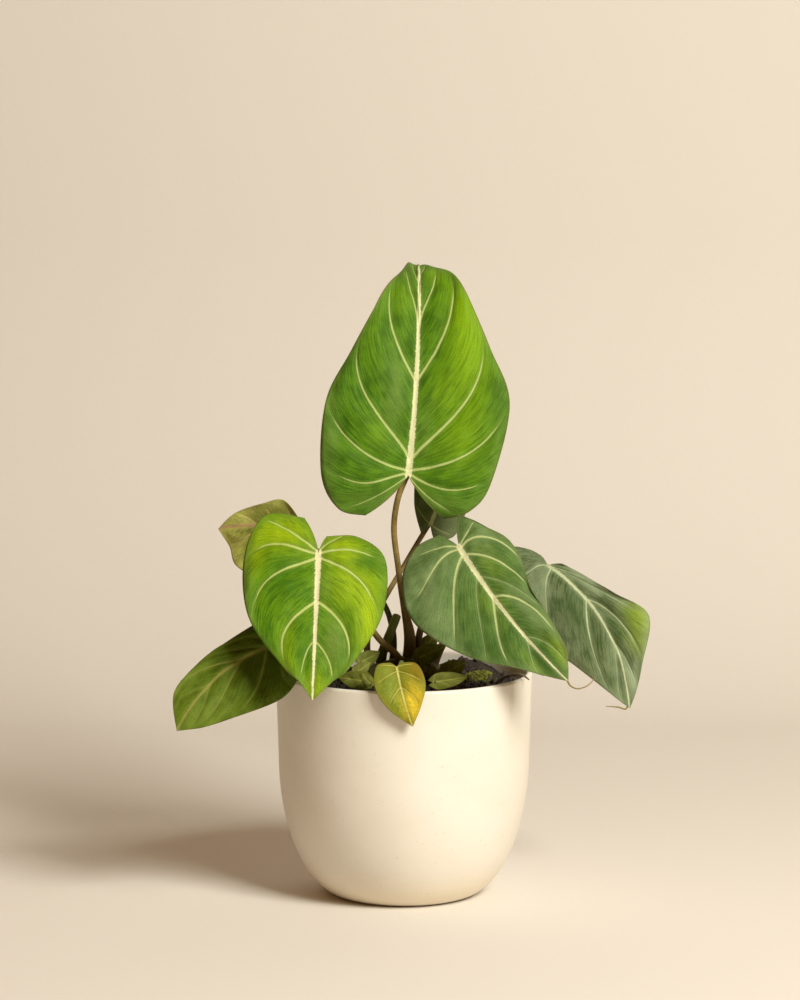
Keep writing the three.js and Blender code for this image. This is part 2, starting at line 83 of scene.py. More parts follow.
# Each large leaf. at: petiole junction. aim: direction of the tip, in degrees up from +X.
# ribs, from the back of the lobes to the tip: distance of the rib's root along the midrib, then
# where it meets the margin on the blade's left (x, y) and on its right (x, y), x towards the tip.
# lean, tilt: slope of the blade along and across. fold: rise of the halves from the midrib.
# sway: bow of the midrib to the left. cup, sag, lobe: how far the sides, the tip and the lobes
# bend outward (+) or back (-). wave: height, number and phase of the margin's waves. roll: where
# the tip rolls back, and its radius.
# veins: root along the midrib, then for the left and the right two points that the vein passes
# (x, y, x, y) and the place of the margin, counted in ribs, that it runs to, then its half width
# at the root on the left and on the right. midrib: half width at the junction and near the tip.
LEAVES = {
    "tall": dict(
        at=[3, 0, 296], aim=87.6, sway=-3, lean=-0.12, tilt=0.04, fold=0.3, cup=-17, sag=-14,
        lobe=-6, wave=[1.6, 3.5, 0.6], roll=[116, 45],
        ribs=[[0, -29, 29, -29, -26], [0, -25, 48, -23, -44], [2, -1, 61, -3, -58],
              [4, 50, 60, 53, -69], [12, 86, 44, 92, -54], [58, 125, 25, 130, -36],
              [110, 150, 12, 154, -22], [148, 170, 6, 171, -9], [180, 180, 0, 180, 0]],
        veins=[[0, [-11, 15, -20, 31, 1.0], [-13, -13, -21, -25, 0.6], 0.5, 0.55],
               [2, [-4, 19, -6, 36, 2.15], [-7, -19, -8, -38, 2.1], 1.0, 1.05],
               [4, [10, 22, 26, 45, 3.05], [9, -24, 24, -50, 3.05], 1.1, 1.15],
               [11, [36, 18, 66, 37, 4.5], [37, -25, 66, -44.5, 4.35], 1.2, 1.3],
               [66, [89, 10, 115, 18, 5.75], [91, -17, 118, -25.5, 5.85], 1.1, 1.15],
               [106, [124, 1.5, 141, 6, 6.6], [123, -8, 139, -12.5, 6.6], 0.6, 0.8],
               [140, [150, 1.5, 161, 3, 7.3], [150, -3, 161, -5, 7.3], 0.25, 0.25]],
        midrib=[2.3, 0.7]),
    "lime": dict(
        at=[-58.5, -58, 250], aim=-92, sway=0, lean=0.4, tilt=0, fold=0.22, cup=-14, sag=-8,
        lobe=-8, wave=[1.6, 3, 1.5], roll=[95, 30],
        ribs=[[0, -11, 5, -23, -11], [0, -11, 27, -24, -38], [0, 4, 46, 5, -51],
              [3, 42, 45, 45, -46], [35, 76, 25, 78, -21], [60, 87, 13, 88, -9],
              [100, 100, 0, 100, 0]],
        veins=[[0, [-5, 5, -10, 13, 0.6], [-10, -14, -18, -29, 1.2], 0.7, 0.9],
               [1, [-2, 14, -1, 29, 2.05], [-3, -17, -4, -34, 2.1], 0.95, 1.1],
               [3, [9, 15, 21, 31.5, 3.15], [10, -17, 22, -35.5, 3.15], 1.1, 1.2],
               [33, [44, 14.5, 60, 23, 4.3], [44.5, -14, 60, -22, 4.4], 1.2, 1.2],
               [60, [69, 8, 79, 12, 5.05], [67, -5, 77, -7.5, 5.0], 0.7, 0.6]],
        midrib=[2.1, 0.6]),
    "centre_right": dict(
        at=[38, -34, 250.5], aim=-51, sway=-4, lean=0.42, tilt=-0.05, fold=0.3, cup=-13, sag=-8,
        lobe=-7, wave=[2, 3, 0.4], roll=[200, 40],
        ribs=[[0, -18, 14, -15, -6], [0, -1, 22, -18, -25], [2, 27, 29, -5, -47],
              [6, 53, 20, 23, -57], [14, 73, 18, 61, -43], [41, 95, 14, 88, -22],
              [72, 107, 8, 103, -10], [117, 117, 0, 117, 0]],
        veins=[[0, [-3, 8, -6, 16, 0.7], [-7, -9, -11, -19, 1.35], 0.7, 0.7],
               [2, [4, 16, 20, 26, 2.5], [-1, -16, 5, -34, 2.6], 1.0, 0.9],
               [6, [19, 12, 38, 19, 3.3], [18, -19, 37, -35, 3.75], 1.0, 1.15],
               [24, [39, 9, 57, 15.5, 4.1], [38, -15, 62, -29, 4.35], 0.12, 0.12],
               [41, [54, 9.5, 73, 14, 5.0], [54, -12, 71, -21, 4.95], 1.0, 1.1],
               [76, [86, 4, 98, 7, 6.0], [85, -7.5, 96, -12, 6.0], 0.15, 0.15]],
        midrib=[2.0, 0.45]),
    "far_right": dict(
        at=[102.5, 36, 228], aim=-60.7, sway=14, lean=0.3, tilt=0.12, fold=0.25, cup=-9, sag=-7,
        lobe=-5, wave=[1.6, 3, 2], roll=[200, 40],
        ribs=[[0, 4, 9, -9, -1], [0, 14, 16, -24, -18], [18, 40, 31, 1, -35],
              [42, 65, 44, 37, -35], [66, 92, 23, 68, -20], [88, 107, 10, 101, -6],
              [115, 115, 0, 115, 0]],
        veins=[[1, [13, 12, 23, 20, 1.75], [-3, -7, -2, -17, 1.9], 0.45, 0.6],
               [3, [22, 16, 43, 29, 2.95], [14, -10, 30, -18, 3.3], 0.2, 0.6],
               [34, [46, 20, 66, 25.5, 3.9], [55, 1.5, 76, -4, 4.9], 0.6, 0.7],
               [70, [83, 14.5, 96, 13.5, 5.0], [84, 7, 97, 1, 5.4], 0.15, 0.15]],
        midrib=[1.3, 0.5]),
    "lower_left": dict(
        at=[-80, -46, 187], aim=-141, sway=-11, lean=0.3, tilt=0.3, fold=0.15, cup=-7, sag=-6,
        lobe=-3, wave=[1.6, 3, 0], roll=[200, 40],
        ribs=[[0, -4, 17, -12, -15], [0, 11, 25, 5, -22], [8, 30, 28, 34, -26],
              [21, 63, 17, 57, -27], [40, 82, 9, 83, -21], [97, 97, 0, 97, 0]],
        veins=[[4, [10, 6, 17, 15, 1.35], [12, -12, 22, -20, 2.2], 0.5, 0.6],
               [14, [29, 7, 44, 14.5, 3.1], [26, -14, 41, -22, 2.8], 0.7, 0.3],
               [32, [49, -3, 65, 4, 4.1], [46, -17, 64, -23, 4.05], 0.75, 0.8],
               [60, [71, -3, 81, 2, 4.5], [71, -14, 82, -15, 4.6], 0.2, 0.2]],
        midrib=[1.3, 0.8]),
    "upper_left": dict(
        at=[-77, 30, 241], aim=166, sway=-9, lean=0.1, tilt=-0.5, fold=-0.15, cup=4, sag=3,
        lobe=0, wave=[1.8, 2.5, 0], roll=[200, 40],
        ribs=[[0, -11, 17, 1, -20], [0, 11, 28, 16, -31], [12, 37, 23, 30, -25],
              [28, 46, 10, 47, -14], [56, 56, 0, 56, 0]],
        midrib=[1.4, 0.8]),
    "back": dict(
        at=[19, 38, 257], aim=62, sway=2, lean=-0.25, tilt=0.1, fold=0.2, cup=-6, sag=-6,
        lobe=-2, wave=[1, 2, 0], roll=[200, 40],
        ribs=[[0, -9, 3, -9, -8], [0, 9, 18, 1, -19], [10, 36, 28, 24, -18],
              [30, 61, 18, 54, -15], [71, 71, 0, 71, 0]],
        midrib=[1.4, 0.5]),
    "small_front": dict(
        at=[-5, -90.5, 176], aim=-75, sway=-1, lean=0.1, tilt=0, fold=0.35, cup=-4, sag=-2,
        lobe=-1, wave=[0.4, 2, 0], roll=[200, 40],
        ribs=[[0, -2, 4, -4, -4], [0, 2, 14, -4, -13], [3, 16, 16, 9, -18],
              [14, 30, 9, 26, -13], [42, 42, 0, 42, 0]],
        midrib=[0.7, 0.3]),
}

RIB_BOW = 0.12
FOLD_ROUNDING = 4
# How much the lines of a blade's grid crowd towards its veins.
CROWDING = 0.7

# The lamina's relief: the swelling between the veins, the pleats along them, the midrib's groove,
# soft waves, and how far veins sink in above and stand out below.
SWELL = 0.05
PLEATS = 4
PLEAT_DEPTH = 0.006
GROOVE_DEPTH = 0.35
GROOVE_REACH = 2.0
SOFT_WAVES = 0.7
SOFT_WAVE_SIZE = 34
VEIN_SINK = 0.35
VEIN_REACH = 0.9
KEEL_RISE = 0.5
MARGIN_THICKNESS = 0.3

DEEP = "deep"
LIME = "lime"
GREY = "grey"
TINTS = (DEEP, LIME, GREY)
MATERIAL_MARKS = ("gap", "width", "off", "core", "edge", *TINTS)
# The blade's own UV map is its flat shape in units of 100 mm.
PLAN_SCALE = 0.01
MARGIN_BROWN = (0.17, 0.09, 0.04)
UNDER_MIDRIB = (0.30, 0.20, 0.11)

# How far noise is stretched along the veins and the stalks, and the softness of a pale line.
STREAK_STRETCH = (1.0, 0.16, 1)
HAIR_STRETCH = (1.0, 0.10, 1)
FIBRE_STRETCH = (9, 0.035, 1)
LINE_SOFTNESS = (-0.32, 0.34)

# Where the rings of a stalk's domed ends stand, in degrees.
DOME_TURNS = (30, 60, 85)

# Colours of each leaf, as shares of red, green and blue light. patches: soft areas of lime, grey or
# dark tint, each as tint, x, y, reach along and across, and strength. The grey tint is painted
# velvet sheen where the pile catches the light, except on the small front leaf, where it is a brown
# tone. The lime tint is partly the leaves' own paler streaks and partly painted light, where the
# light falls strongly on a blade and shines through it.
LEAF_LOOKS = {
    "tall": dict(
        deep=(0.034, 0.100, 0.002), mid=(0.080, 0.190, 0.004), lime=(0.17, 0.31, 0.001),
        grey=(0.12, 0.20, 0.035), vein=(0.36, 0.44, 0.14), core=(0.58, 0.59, 0.33),
        patches=[[LIME, 118, -38, 34, 14, 1.0], [LIME, 75, -40, 40, 15, 0.6],
                 [LIME, 25, -35, 22, 18, 0.45], [LIME, 28, 22, 14, 10, 0.35],
                 [LIME, 125, 10, 14, 8, 0.4], [LIME, 150, -14, 14, 8, 0.5],
                 [LIME, 60, -20, 16, 10, 0.3], [LIME, 100, 28, 20, 6, 0.2],
                 [GREY, 60, 12, 30, 8, 0.6], [GREY, -18, 0, 8, 50, 0.5],
                 [GREY, 20, 55, 40, 6, 0.5], [GREY, 150, 4, 20, 10, 0.4],
                 [GREY, 30, -10, 20, 6, 0.3], [GREY, 20, -62, 30, 6, 0.3]]),
    "lime": dict(
        deep=(0.040, 0.125, 0.001), mid=(0.105, 0.23, 0.003), lime=(0.28, 0.40, 0.003),
        grey=(0.14, 0.225, 0.035), vein=(0.40, 0.48, 0.14), core=(0.66, 0.64, 0.38),
        patches=[[LIME, -12, -25, 12, 20, 0.95], [LIME, -5, 16, 10, 14, 0.75],
                 [LIME, 20, 22, 18, 16, 0.7], [LIME, 48, 36, 24, 8, 0.95],
                 [LIME, 5, -44, 14, 8, 0.6], [LIME, 92, 2, 10, 8, 0.8],
                 [LIME, 70, -18, 24, 6, 0.4], [DEEP, 20, -22, 16, 14, 0.6],
                 [DEEP, 62, -8, 14, 9, 0.4], [GREY, 62, 14, 16, 9, 0.9],
                 [GREY, 30, -48, 30, 5, 0.4], [GREY, 25, 6, 12, 6, 0.4],
                 [DEEP, 6, 34, 5, 9, 0.8]]),
    "centre_right": dict(
        deep=(0.038, 0.090, 0.012), mid=(0.088, 0.165, 0.028), lime=(0.19, 0.30, 0.006),
        grey=(0.16, 0.225, 0.09), vein=(0.38, 0.45, 0.18), core=(0.57, 0.58, 0.33),
        patches=[[LIME, 100, 9, 12, 5, 1.0], [LIME, 45, -6, 14, 8, 0.3],
                 [LIME, 20, 10, 14, 6, 0.35], [LIME, 100, -12, 14, 4, 0.5],
                 [GREY, 0, -30, 20, 25, 0.7], [GREY, 30, -45, 26, 12, 0.6],
                 [GREY, 62, 10, 20, 6, 0.6], [GREY, 5, 15, 14, 10, 0.4],
                 # The deep patch at 95 along the midrib is painted shade, where the right half
                 # folds away from the light.
                 [DEEP, 62, -26, 20, 7, 0.5], [DEEP, 95, -4, 16, 5, 1.0]]),
    "far_right": dict(
        deep=(0.048, 0.085, 0.022), mid=(0.14, 0.18, 0.080), lime=(0.24, 0.34, 0.03),
        grey=(0.25, 0.31, 0.18), vein=(0.40, 0.48, 0.26), core=(0.50, 0.56, 0.33),
        patches=[[LIME, 62, 40, 16, 9, 1.0], [LIME, 80, 28, 14, 6, 0.6],
                 [GREY, 20, 20, 18, 8, 0.7], [GREY, 95, 12, 16, 10, 0.6],
                 [GREY, 8, -14, 14, 10, 0.6], [GREY, 55, -14, 20, 6, 0.4],
                 [DEEP, 40, 0, 18, 8, 0.6], [DEEP, 60, 18, 12, 5, 0.4]]),
    "lower_left": dict(
        deep=(0.042, 0.070, 0.001), mid=(0.092, 0.145, 0.004), lime=(0.16, 0.21, 0.008),
        grey=(0.13, 0.19, 0.02), vein=(0.17, 0.19, 0.035), core=(0.22, 0.22, 0.045),
        patches=[[GREY, 72, 2, 18, 10, 0.9], [GREY, 70, -22, 18, 5, 0.5],
                 [LIME, 84, 0, 10, 12, 0.3], [DEEP, 20, 0, 24, 20, 0.8]]),
    "upper_left": dict(
        deep=(0.15, 0.16, 0.025), mid=(0.31, 0.33, 0.07), lime=(0.42, 0.42, 0.09),
        grey=(0.44, 0.41, 0.12), vein=(0.45, 0.38, 0.13), core=(0.40, 0.26, 0.12),
        patches=[[DEEP, 10, -20, 20, 12, 0.9], [LIME, 44, 6, 14, 10, 0.5]]),
    "back": dict(
        deep=(0.075, 0.105, 0.03), mid=(0.10, 0.135, 0.045), lime=(0.15, 0.19, 0.03),
        grey=(0.13, 0.16, 0.07), vein=(0.30, 0.34, 0.12), core=(0.42, 0.44, 0.20),
        patches=[[GREY, 5, -10, 20, 20, 0.5]]),
    "small_front": dict(
        deep=(0.12, 0.18, 0.014), mid=(0.20, 0.25, 0.028), lime=(0.64, 0.48, 0.03),
        grey=(0.19, 0.145, 0.006), vein=(0.45, 0.46, 0.12), core=(0.48, 0.50, 0.15),
        patches=[[LIME, 30, 3, 12, 7, 1.0], [LIME, 22, 8, 12, 6, 0.7],
                 [GREY, 6, 11, 9, 7, 0.9], [GREY, 37, -2, 2.5, 2, 1.0]]),
}

# The creeping rhizome, and the petioles from it up, as [x, y, z, radius] points.
RHIZOME = [[-34, -14, 147, 5], [-22, -8, 153, 8], [-6, -3, 158, 10], [10, 2, 158, 10],
           [24, 8, 152, 8], [34, 12, 145, 5]]
PETIOLES = {
    "tall": [[3, 0, 163, 4.5], [4, 0, 183, 4], [0, 3, 203, 2.4], [-4, 7, 230, 2.1],
             [-7, 9, 258, 2.1], [-4, 7, 280, 2.1]],
    "lime": [[-1, -8, 162, 3], [-6, -13, 172, 2.6], [-20, -26, 188, 2.2], [-42, -44, 226, 2]],
    "centre_right": [[10, 6, 162, 3], [10.5, 4, 182, 2.6], [19, -6, 212, 2.1], [30, -22, 236, 2]],
    "far_right": [[20, 8, 158, 3.2], [30, 16, 178, 2.6], [56, 39, 204, 2.1], [84, 50, 220, 2]],
    "lower_left": [[-22, -14, 154, 3], [-30, -20, 170, 2.4], [-50, -30, 187, 2],
                   [-67, -38, 190, 1.9]],
    "upper_left": [[-8, 9, 162, 2.6], [-8, 9, 186, 2.2], [-18, 11, 210, 1.9], [-46, 23, 236, 1.8]],
    "back": [[-24, 2, 156, 3], [-26, 8, 178, 2.4], [-19, 16, 197, 2], [0, 37, 227.5, 1.9]],
    "small_front": [[2, -24, 148, 1.6], [0, -42, 166, 1.4], [-2, -66, 175, 1.3]],
}
# Where a petiole meets its blade's midrib, and the distances below it of the petiole's last points.
JUNCTION_SEAT = 3
JUNCTION_BEND = 7
JUNCTION_END = 2.2
GREEN_PETIOLES = ("lower_left", "upper_left", "small_front")

STUB_FRONT = [[-17, -1, 158, 3.6], [-15, -1, 171, 3.5], [-10, -1, 184, 3.2], [-5, -1, 197, 3]]
DRY_ROOT = [[56, -20, 145, 1.2], [68, -28, 157, 1.1], [76, -34, 161, 1],
            [82, -38.5, 161.5, 0.9], [86.5, -40.5, 158.5, 0.5]]

# Withered tips that curl away from a blade, as [x, y, z, radius] points.
TIP_CURLS = {
    "centre_right": [[110.5, -83.5, 167, 0.7], [112.5, -84.5, 162.5, 0.6], [117, -84.5, 160, 0.5],
                     [122.5, -83, 160.6, 0.45], [127, -81, 163.2, 0.35], [130, -80, 166.8, 0.2]],
    "far_right": [[158, -1.5, 134, 0.6], [156, -2.5, 131, 0.6], [151.5, -3, 132.3, 0.55],
                  [147, -3, 132.8, 0.4], [142, -3, 133, 0.2]],
}

# Small leaves of the side shoots: junction, direction, length and half width, lean, and where the
# stalk leaves the potting mix.
SMALL_LEAVES = {
    "left_high": dict(at=[-31, -28, 168], aim=28, size=[16, 6], lean=-0.4, foot=[-27, -22, 150]),
    "left_middle": dict(at=[-34, -42, 163], aim=35, size=[13, 5], lean=-0.3, foot=[-28, -36, 150]),
    "left_low": dict(at=[-24, -58, 160], aim=172, size=[22, 7], lean=-0.2, foot=[-22, -48, 149]),
    "left_lip": dict(at=[-22, -66, 158.5], aim=128, size=[11, 4], lean=0.1, foot=[-19, -60, 149]),
    "right_high": dict(at=[9, -14, 169], aim=22, size=[22, 7], lean=-0.2, foot=[11, -20, 150]),
    "right_back": dict(at=[14, 10, 172], aim=48, size=[14, 6], lean=-0.2, foot=[18, 14, 152]),
    "right_round": dict(at=[27, -40, 162], aim=28, size=[18, 7], lean=-0.3, foot=[24, -36, 150]),
    "right_low": dict(at=[20, -62, 160.5], aim=8, size=[24, 6], lean=-0.1, foot=[18, -56, 149]),
}
LEAFLET_FORM = dict(sway=0, tilt=0, fold=0.3, cup=-1.5, sag=-2, lobe=-0.5, wave=[0.3, 2, 0],
                    midrib=[0.45, 0.2])
LEAFLET_ROLL = 10
LEAFLET_STALK = dict(radii=[1.1, 1, 0.9], bow=1, past=1.4, sink=0.5)

# What lies on the mix: moss, bark, a heap at the wall, and crumbs.
MOSS = dict(at=[54, 12], radius=11, height=5)
MOSS_TUFTS = 420
BARK_CHIPS = 620
HEAP = dict(at=[50, 64], reach=[24, 16], height=7)
CRUMB_HEIGHT = 0.9

# The paper sheet behind the plant, the lamp, and the light from all round.
SWEEP = dict(front=-3200.0, floor_end=620.0, bend=420.0, top=2600.0, half_width=1300.0)
KEY = dict(azimuth=38, elevation=37, distance=3000, size=1150, power=125, aim=[0, 0, 200],
           colour=(1.0, 0.975, 0.885))
WORLD_COLOUR = (1.0, 0.48, 0.13)
WORLD_STRENGTH = 0.19
SURROUNDINGS = (0.78, 0.68, 0.53)


def blend_between(a, b, share):
    """a where share is 0, b where it is 1."""
    return a + (b - a) * share


def smooth_step(low, high, value):
    """0 below low, 1 above high, and a smooth rise between."""
    u = np.clip((value - low) / (high - low), 0, 1)
    return u * u * (3 - 2 * u)


def smooth_through(values, s):
    """The cubic curve that meets each of the values at whole s. Its slope at a value is half the
    difference of the values on each side."""
    p = np.asarray(values, float)
    i = np.clip(np.floor(s).astype(int), 0, len(p) - 2)
    u = s - i
    if p.ndim > 1:
        u = u[..., None]
    a, b = p[np.maximum(i - 1, 0)], p[i]
    c, d = p[i + 1], p[np.minimum(i + 2, len(p) - 1)]
    v0, v1 = (c - a) / 2, (d - b) / 2
    return (2 * b - 2 * c + v0 + v1) * u ** 3 + (-3 * b + 3 * c - 2 * v0 - v1) * u ** 2 + v0 * u + b


def crossing_waves(points, size, seed, octaves=3):
    """A smooth uneven field between about -1 and 1: sine waves of a few sizes and of directions
    drawn from the seed, added up, each octave half the size and height of the one before."""
    draw = np.random.default_rng(seed)
    total = np.zeros(points.shape[:-1])
    for octave in range(octaves):
        for _ in range(4):
            direction = draw.normal(size=points.shape[-1])
            direction /= np.linalg.norm(direction)
            phase = draw.uniform(0, 2 * np.pi)
            reach = size * 0.5 ** octave * draw.uniform(0.7, 1.4)
            total += 0.5 ** octave * np.sin(2 * np.pi * points @ direction / reach + phase)
    return total / 3


def make_piece(name, points, faces, material, nodes=(), corner_maps=None, marks=None):
    """A mesh piece from points in millimetres and an array of faces, all with as many corners.
    corner_maps holds a UV map's (u, v) for each corner of each face, and marks a number for each
    point. The piece rides on the pot, takes the given material and stands for the CAD nodes."""
    mesh = bpy.data.meshes.new(name)
    mesh.vertices.add(len(points))
    mesh.vertices.foreach_set("co", (np.asarray(points, float) * MM).ravel())
    mesh.loops.add(faces.size)
    mesh.loops.foreach_set("vertex_index", faces.ravel().astype(np.int32))
    mesh.polygons.add(len(faces))
    starts = np.arange(0, faces.size, faces.shape[1], dtype=np.int32)
    mesh.polygons.foreach_set("loop_start", starts)
    mesh.update(calc_edges=True)
    for label, values in (corner_maps or {}).items():
        layer = mesh.uv_layers.new(name=label)
        layer.data.foreach_set("uv", np.asarray(values, float).ravel())
    for label, values in (marks or {}).items():
        layer = mesh.attributes.new(label, "FLOAT", "POINT")
        layer.data.foreach_set("value", np.asarray(values, float))
    mesh.validate()
    mesh.shade_smooth()
    mesh.materials.append(material)
    piece = bpy.data.objects.new(name, mesh)
    bpy.context.scene.collection.objects.link(piece)
    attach(piece, "root")
    if nodes:
        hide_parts(*nodes)
    return piece


def weld(points, faces):
    """Joins points that lie on each other and drops the triangles that then collapse. Returns, for
    each point that is left, the first old one at its place, the new number of each old point, the
    triangles, and the same triangles in the old numbering."""
    _, first, merged = np.unique(np.round(points, 3), axis=0, return_index=True,
                                 return_inverse=True)
    merged = merged.ravel()
    new = merged[faces]
    good = (new[:, 0] != new[:, 1]) & (new[:, 1] != new[:, 2]) & (new[:, 2] != new[:, 0])
    return first, merged, new[good], faces[good]


def vertex_normals(points, faces):
    """The mean of the normals of the triangles round each point, by their areas."""
    a, b, c = points[faces[:, 0]], points[faces[:, 1]], points[faces[:, 2]]
    flat = np.cross(b - a, c - a)
    total = np.zeros_like(points)
    for corner in range(3):
        np.add.at(total, faces[:, corner], flat)
    return total / np.maximum(np.linalg.norm(total, axis=1, keepdims=True), 1e-9)


def grid_cells(rows, columns):
    """The numbers of the corners of each cell of a grid of points."""
    i, j = np.meshgrid(np.arange(rows - 1), np.arange(columns - 1), indexing="ij")
    a = (i * columns + j).ravel()
    return np.stack([a, a + columns, a + columns + 1, a + 1], 1)


def grid_triangles(points, rows, columns):
    """Triangles of a grid of points, each cell cut along its shorter diagonal."""
    a, b, c, d = grid_cells(rows, columns).T
    along = np.linalg.norm(points[a] - points[c], axis=1)
    across = np.linalg.norm(points[b] - points[d], axis=1)
    cut = (along < across)[:, None]
    one = np.where(cut, np.stack([a, b, c], 1), np.stack([a, b, d], 1))
    two = np.where(cut, np.stack([a, c, d], 1), np.stack([b, c, d], 1))
    return np.concatenate([one, two])


def ring_quads(rings, around):
    """Quads of a tube of rings with around points each."""
    i, j = np.meshgrid(np.arange(rings - 1), np.arange(around), indexing="ij")
    a = (i * around + j).ravel()
    b = (i * around + (j + 1) % around).ravel()
    return np.stack([a, b, b + around, a + around], 1)


def capped_rings(rings, start, end, reverse=False):
    """Points and triangles of a tube of rings that fans close to the points start and end. reverse
    turns its faces round."""
    count, around = rings.shape[:2]
    quads = ring_quads(count, around)
    j = np.arange(around)
    following, last = (j + 1) % around, (count - 1) * around
    middle = np.full(around, count * around)
    fans = np.concatenate([np.stack([following, j, middle], 1),
                           np.stack([last + j, last + following, middle + 1], 1)])
    if reverse:
        quads, fans = quads[:, ::-1], fans[:, ::-1]
    points = np.concatenate([rings.reshape(-1, 3), [start, end]])
    return points, np.concatenate([quads[:, [0, 1, 2]], quads[:, [0, 2, 3]], fans])


# Leaf blades


def blade_directions(leaf):
    """The directions of the blade's tip and of its left side."""
    turn = np.radians(leaf["aim"])
    tipward = ACROSS * np.cos(turn) + UPWARD * np.sin(turn)
    leftward = -ACROSS * np.sin(turn) + UPWARD * np.cos(turn)
    return tipward, leftward


def midrib_sway(leaf, along):
    """How far the midrib lies to the left, a parabola from the junction to the tip."""
    length = leaf["ribs"][-1][0]
    share = np.clip(along, 0, length) / length
    return leaf["sway"] * 4 * share * (1 - share)


def margin_points(leaf, side):
    """Where the ribs of one side meet the margin."""
    column = 1 if side > 0 else 3
    return np.array(leaf["ribs"], float)[:, column:column + 2]


def bowed_line(root, end, side, share):
    """A point of the parabola from root to end that bows towards the tip by RIB_BOW."""
    gap = end - root
    control = (root + end) / 2 + side * RIB_BOW * np.stack([-gap[..., 1], gap[..., 0]], -1)
    return (1 - share) ** 2 * root + 2 * share * (1 - share) * control + share ** 2 * end


def usual_points(root, end, side):
    """The points a third and two thirds of the way along the bowed line from root to end."""
    return np.stack([bowed_line(root, end, side, share) for share in (1 / 3, 2 / 3)], 1)


def vein_lines(leaf, side):
    """The lines that run from the midrib to the margin, from the back edge of the lobe to the tip:
    roots along the midrib, two points that each line passes, the places of the margin that they
    run to, counted in ribs, and the half widths."""
    outline = margin_points(leaf, side)
    last = len(outline) - 1
    rows = [[0.0, None, 0.0, 0.0]]
    if "veins" in leaf:
        for root, left, right, left_width, right_width in leaf["veins"]:
            points = left if side > 0 else right
            rows.append([root, points[:4], points[4], left_width if side > 0 else right_width])
    else:
        width = 0.4 * leaf["midrib"][0]
        rows += [[leaf["ribs"][k][0], None, k, width] for k in range(1, last)]
    rows.append([leaf["ribs"][-1][0], None, last, 0.0])
    roots = np.array([row[0] for row in rows], float)
    ends = np.array([row[2] for row in rows], float)
    widths = np.array([row[3] for row in rows], float)
    start = np.stack([roots, midrib_sway(leaf, roots)], -1)
    finish = smooth_through(outline, ends)
    passed = usual_points(start, finish, side)
    for k, row in enumerate(rows):
        if row[1] is not None:
            passed[k] = np.reshape(row[1], (2, 2))
    return roots, passed, ends, widths


def half_blade(leaf, side, s, t):
    """Half of a blade as flat points (x, y), on a grid of lines s, counted from the back of the
    lobe, and shares t of the way from the midrib to the margin. Each line is the cubic that starts
    on the midrib, passes two points and ends on the margin, and it keeps to its own half."""
    roots, passed, ends, _ = vein_lines(leaf, side)
    outline = margin_points(leaf, side)
    place = np.clip(smooth_through(ends, s), 0, len(outline) - 1)
    finish = smooth_through(outline, place)
    root = np.interp(s, np.arange(len(roots)), roots)
    start = np.stack([root, midrib_sway(leaf, root)], -1)
    base = usual_points(start, finish, side)
    lined = np.stack([roots, midrib_sway(leaf, roots)], -1)
    usual = usual_points(lined, smooth_through(outline, ends), side)
    shift = smooth_through((passed - usual).reshape(len(roots), 4), s).reshape(-1, 2, 2)
    one, two = (base + shift).transpose(1, 0, 2)
    u = t[None, :, None]
    points = -4.5 * (u - 1 / 3) * (u - 2 / 3) * (u - 1) * start[:, None]
    points = points + 13.5 * u * (u - 2 / 3) * (u - 1) * one[:, None]
    points = points - 13.5 * u * (u - 1 / 3) * (u - 1) * two[:, None]
    points = points + 4.5 * u * (u - 1 / 3) * (u - 2 / 3) * finish[:, None]
    midrib = midrib_sway(leaf, points[..., 0])
    off = side * (points[..., 1] - midrib)
    points[..., 1] = midrib + side * np.maximum(off, 0.2 * t * np.maximum(off[:, -1:], 0))
    return points, place


def blade_relief(leaf, side, flat, place, t):
    """The bent blade: how far each flat point lies towards the tip, to the left and outward. The
    rise adds the lean, the sag of the tip or the lobe, the tilt, the fold from the midrib, the cup
    of the sides and the waves of the margin, which die away along the last rib. Past the roll's
    start the tip turns on an arc."""
    ribs = np.array(leaf["ribs"], float)
    length, last = ribs[-1, 0], len(ribs) - 1
    column = 1 if side > 0 else 3
    width = np.abs(ribs[:, column + 1]).max()
    reach = max(-ribs[:, column].min(), 1)
    start, radius = leaf["roll"]
    x, y = flat[..., 0], flat[..., 1]
    bent = np.minimum(x, start)
    tipward = leaf["sag"] * (bent / length) ** 2
    spine = leaf["lean"] * bent + np.where(bent > 0, tipward, leaf["lobe"] * (bent / reach) ** 2)
    off = y - midrib_sway(leaf, x)
    section = leaf["tilt"] * y + leaf["fold"] * (np.hypot(off, FOLD_ROUNDING) - FOLD_ROUNDING)
    section += leaf["cup"] * (off / width) ** 2
    height, number, phase = leaf["wave"]
    turns = 2 * np.pi * number * place[:, None] / last + phase * side
    section += height * np.minimum(last - place, 1)[:, None] * t[None, :] ** 3 * np.sin(turns)
    entry = -np.arctan(leaf["lean"] + 2 * leaf["sag"] * start / length ** 2)
    turn = np.maximum(x - start, 0) / radius
    ahead = bent + radius * (np.sin(entry + turn) - np.sin(entry)) + section * np.sin(turn)
    drop = radius * (np.cos(entry) - np.cos(entry + turn))
    return np.stack([ahead, y, spine - drop + section * np.cos(turn)], -1)


def into_place(leaf, relief):
    """Moves relief points (towards the tip, to the left, outward) to the leaf's place."""
    tipward, leftward = blade_directions(leaf)
    axes = np.stack([tipward, leftward, OUTWARD])
    return np.array(leaf["at"], float) + relief @ axes


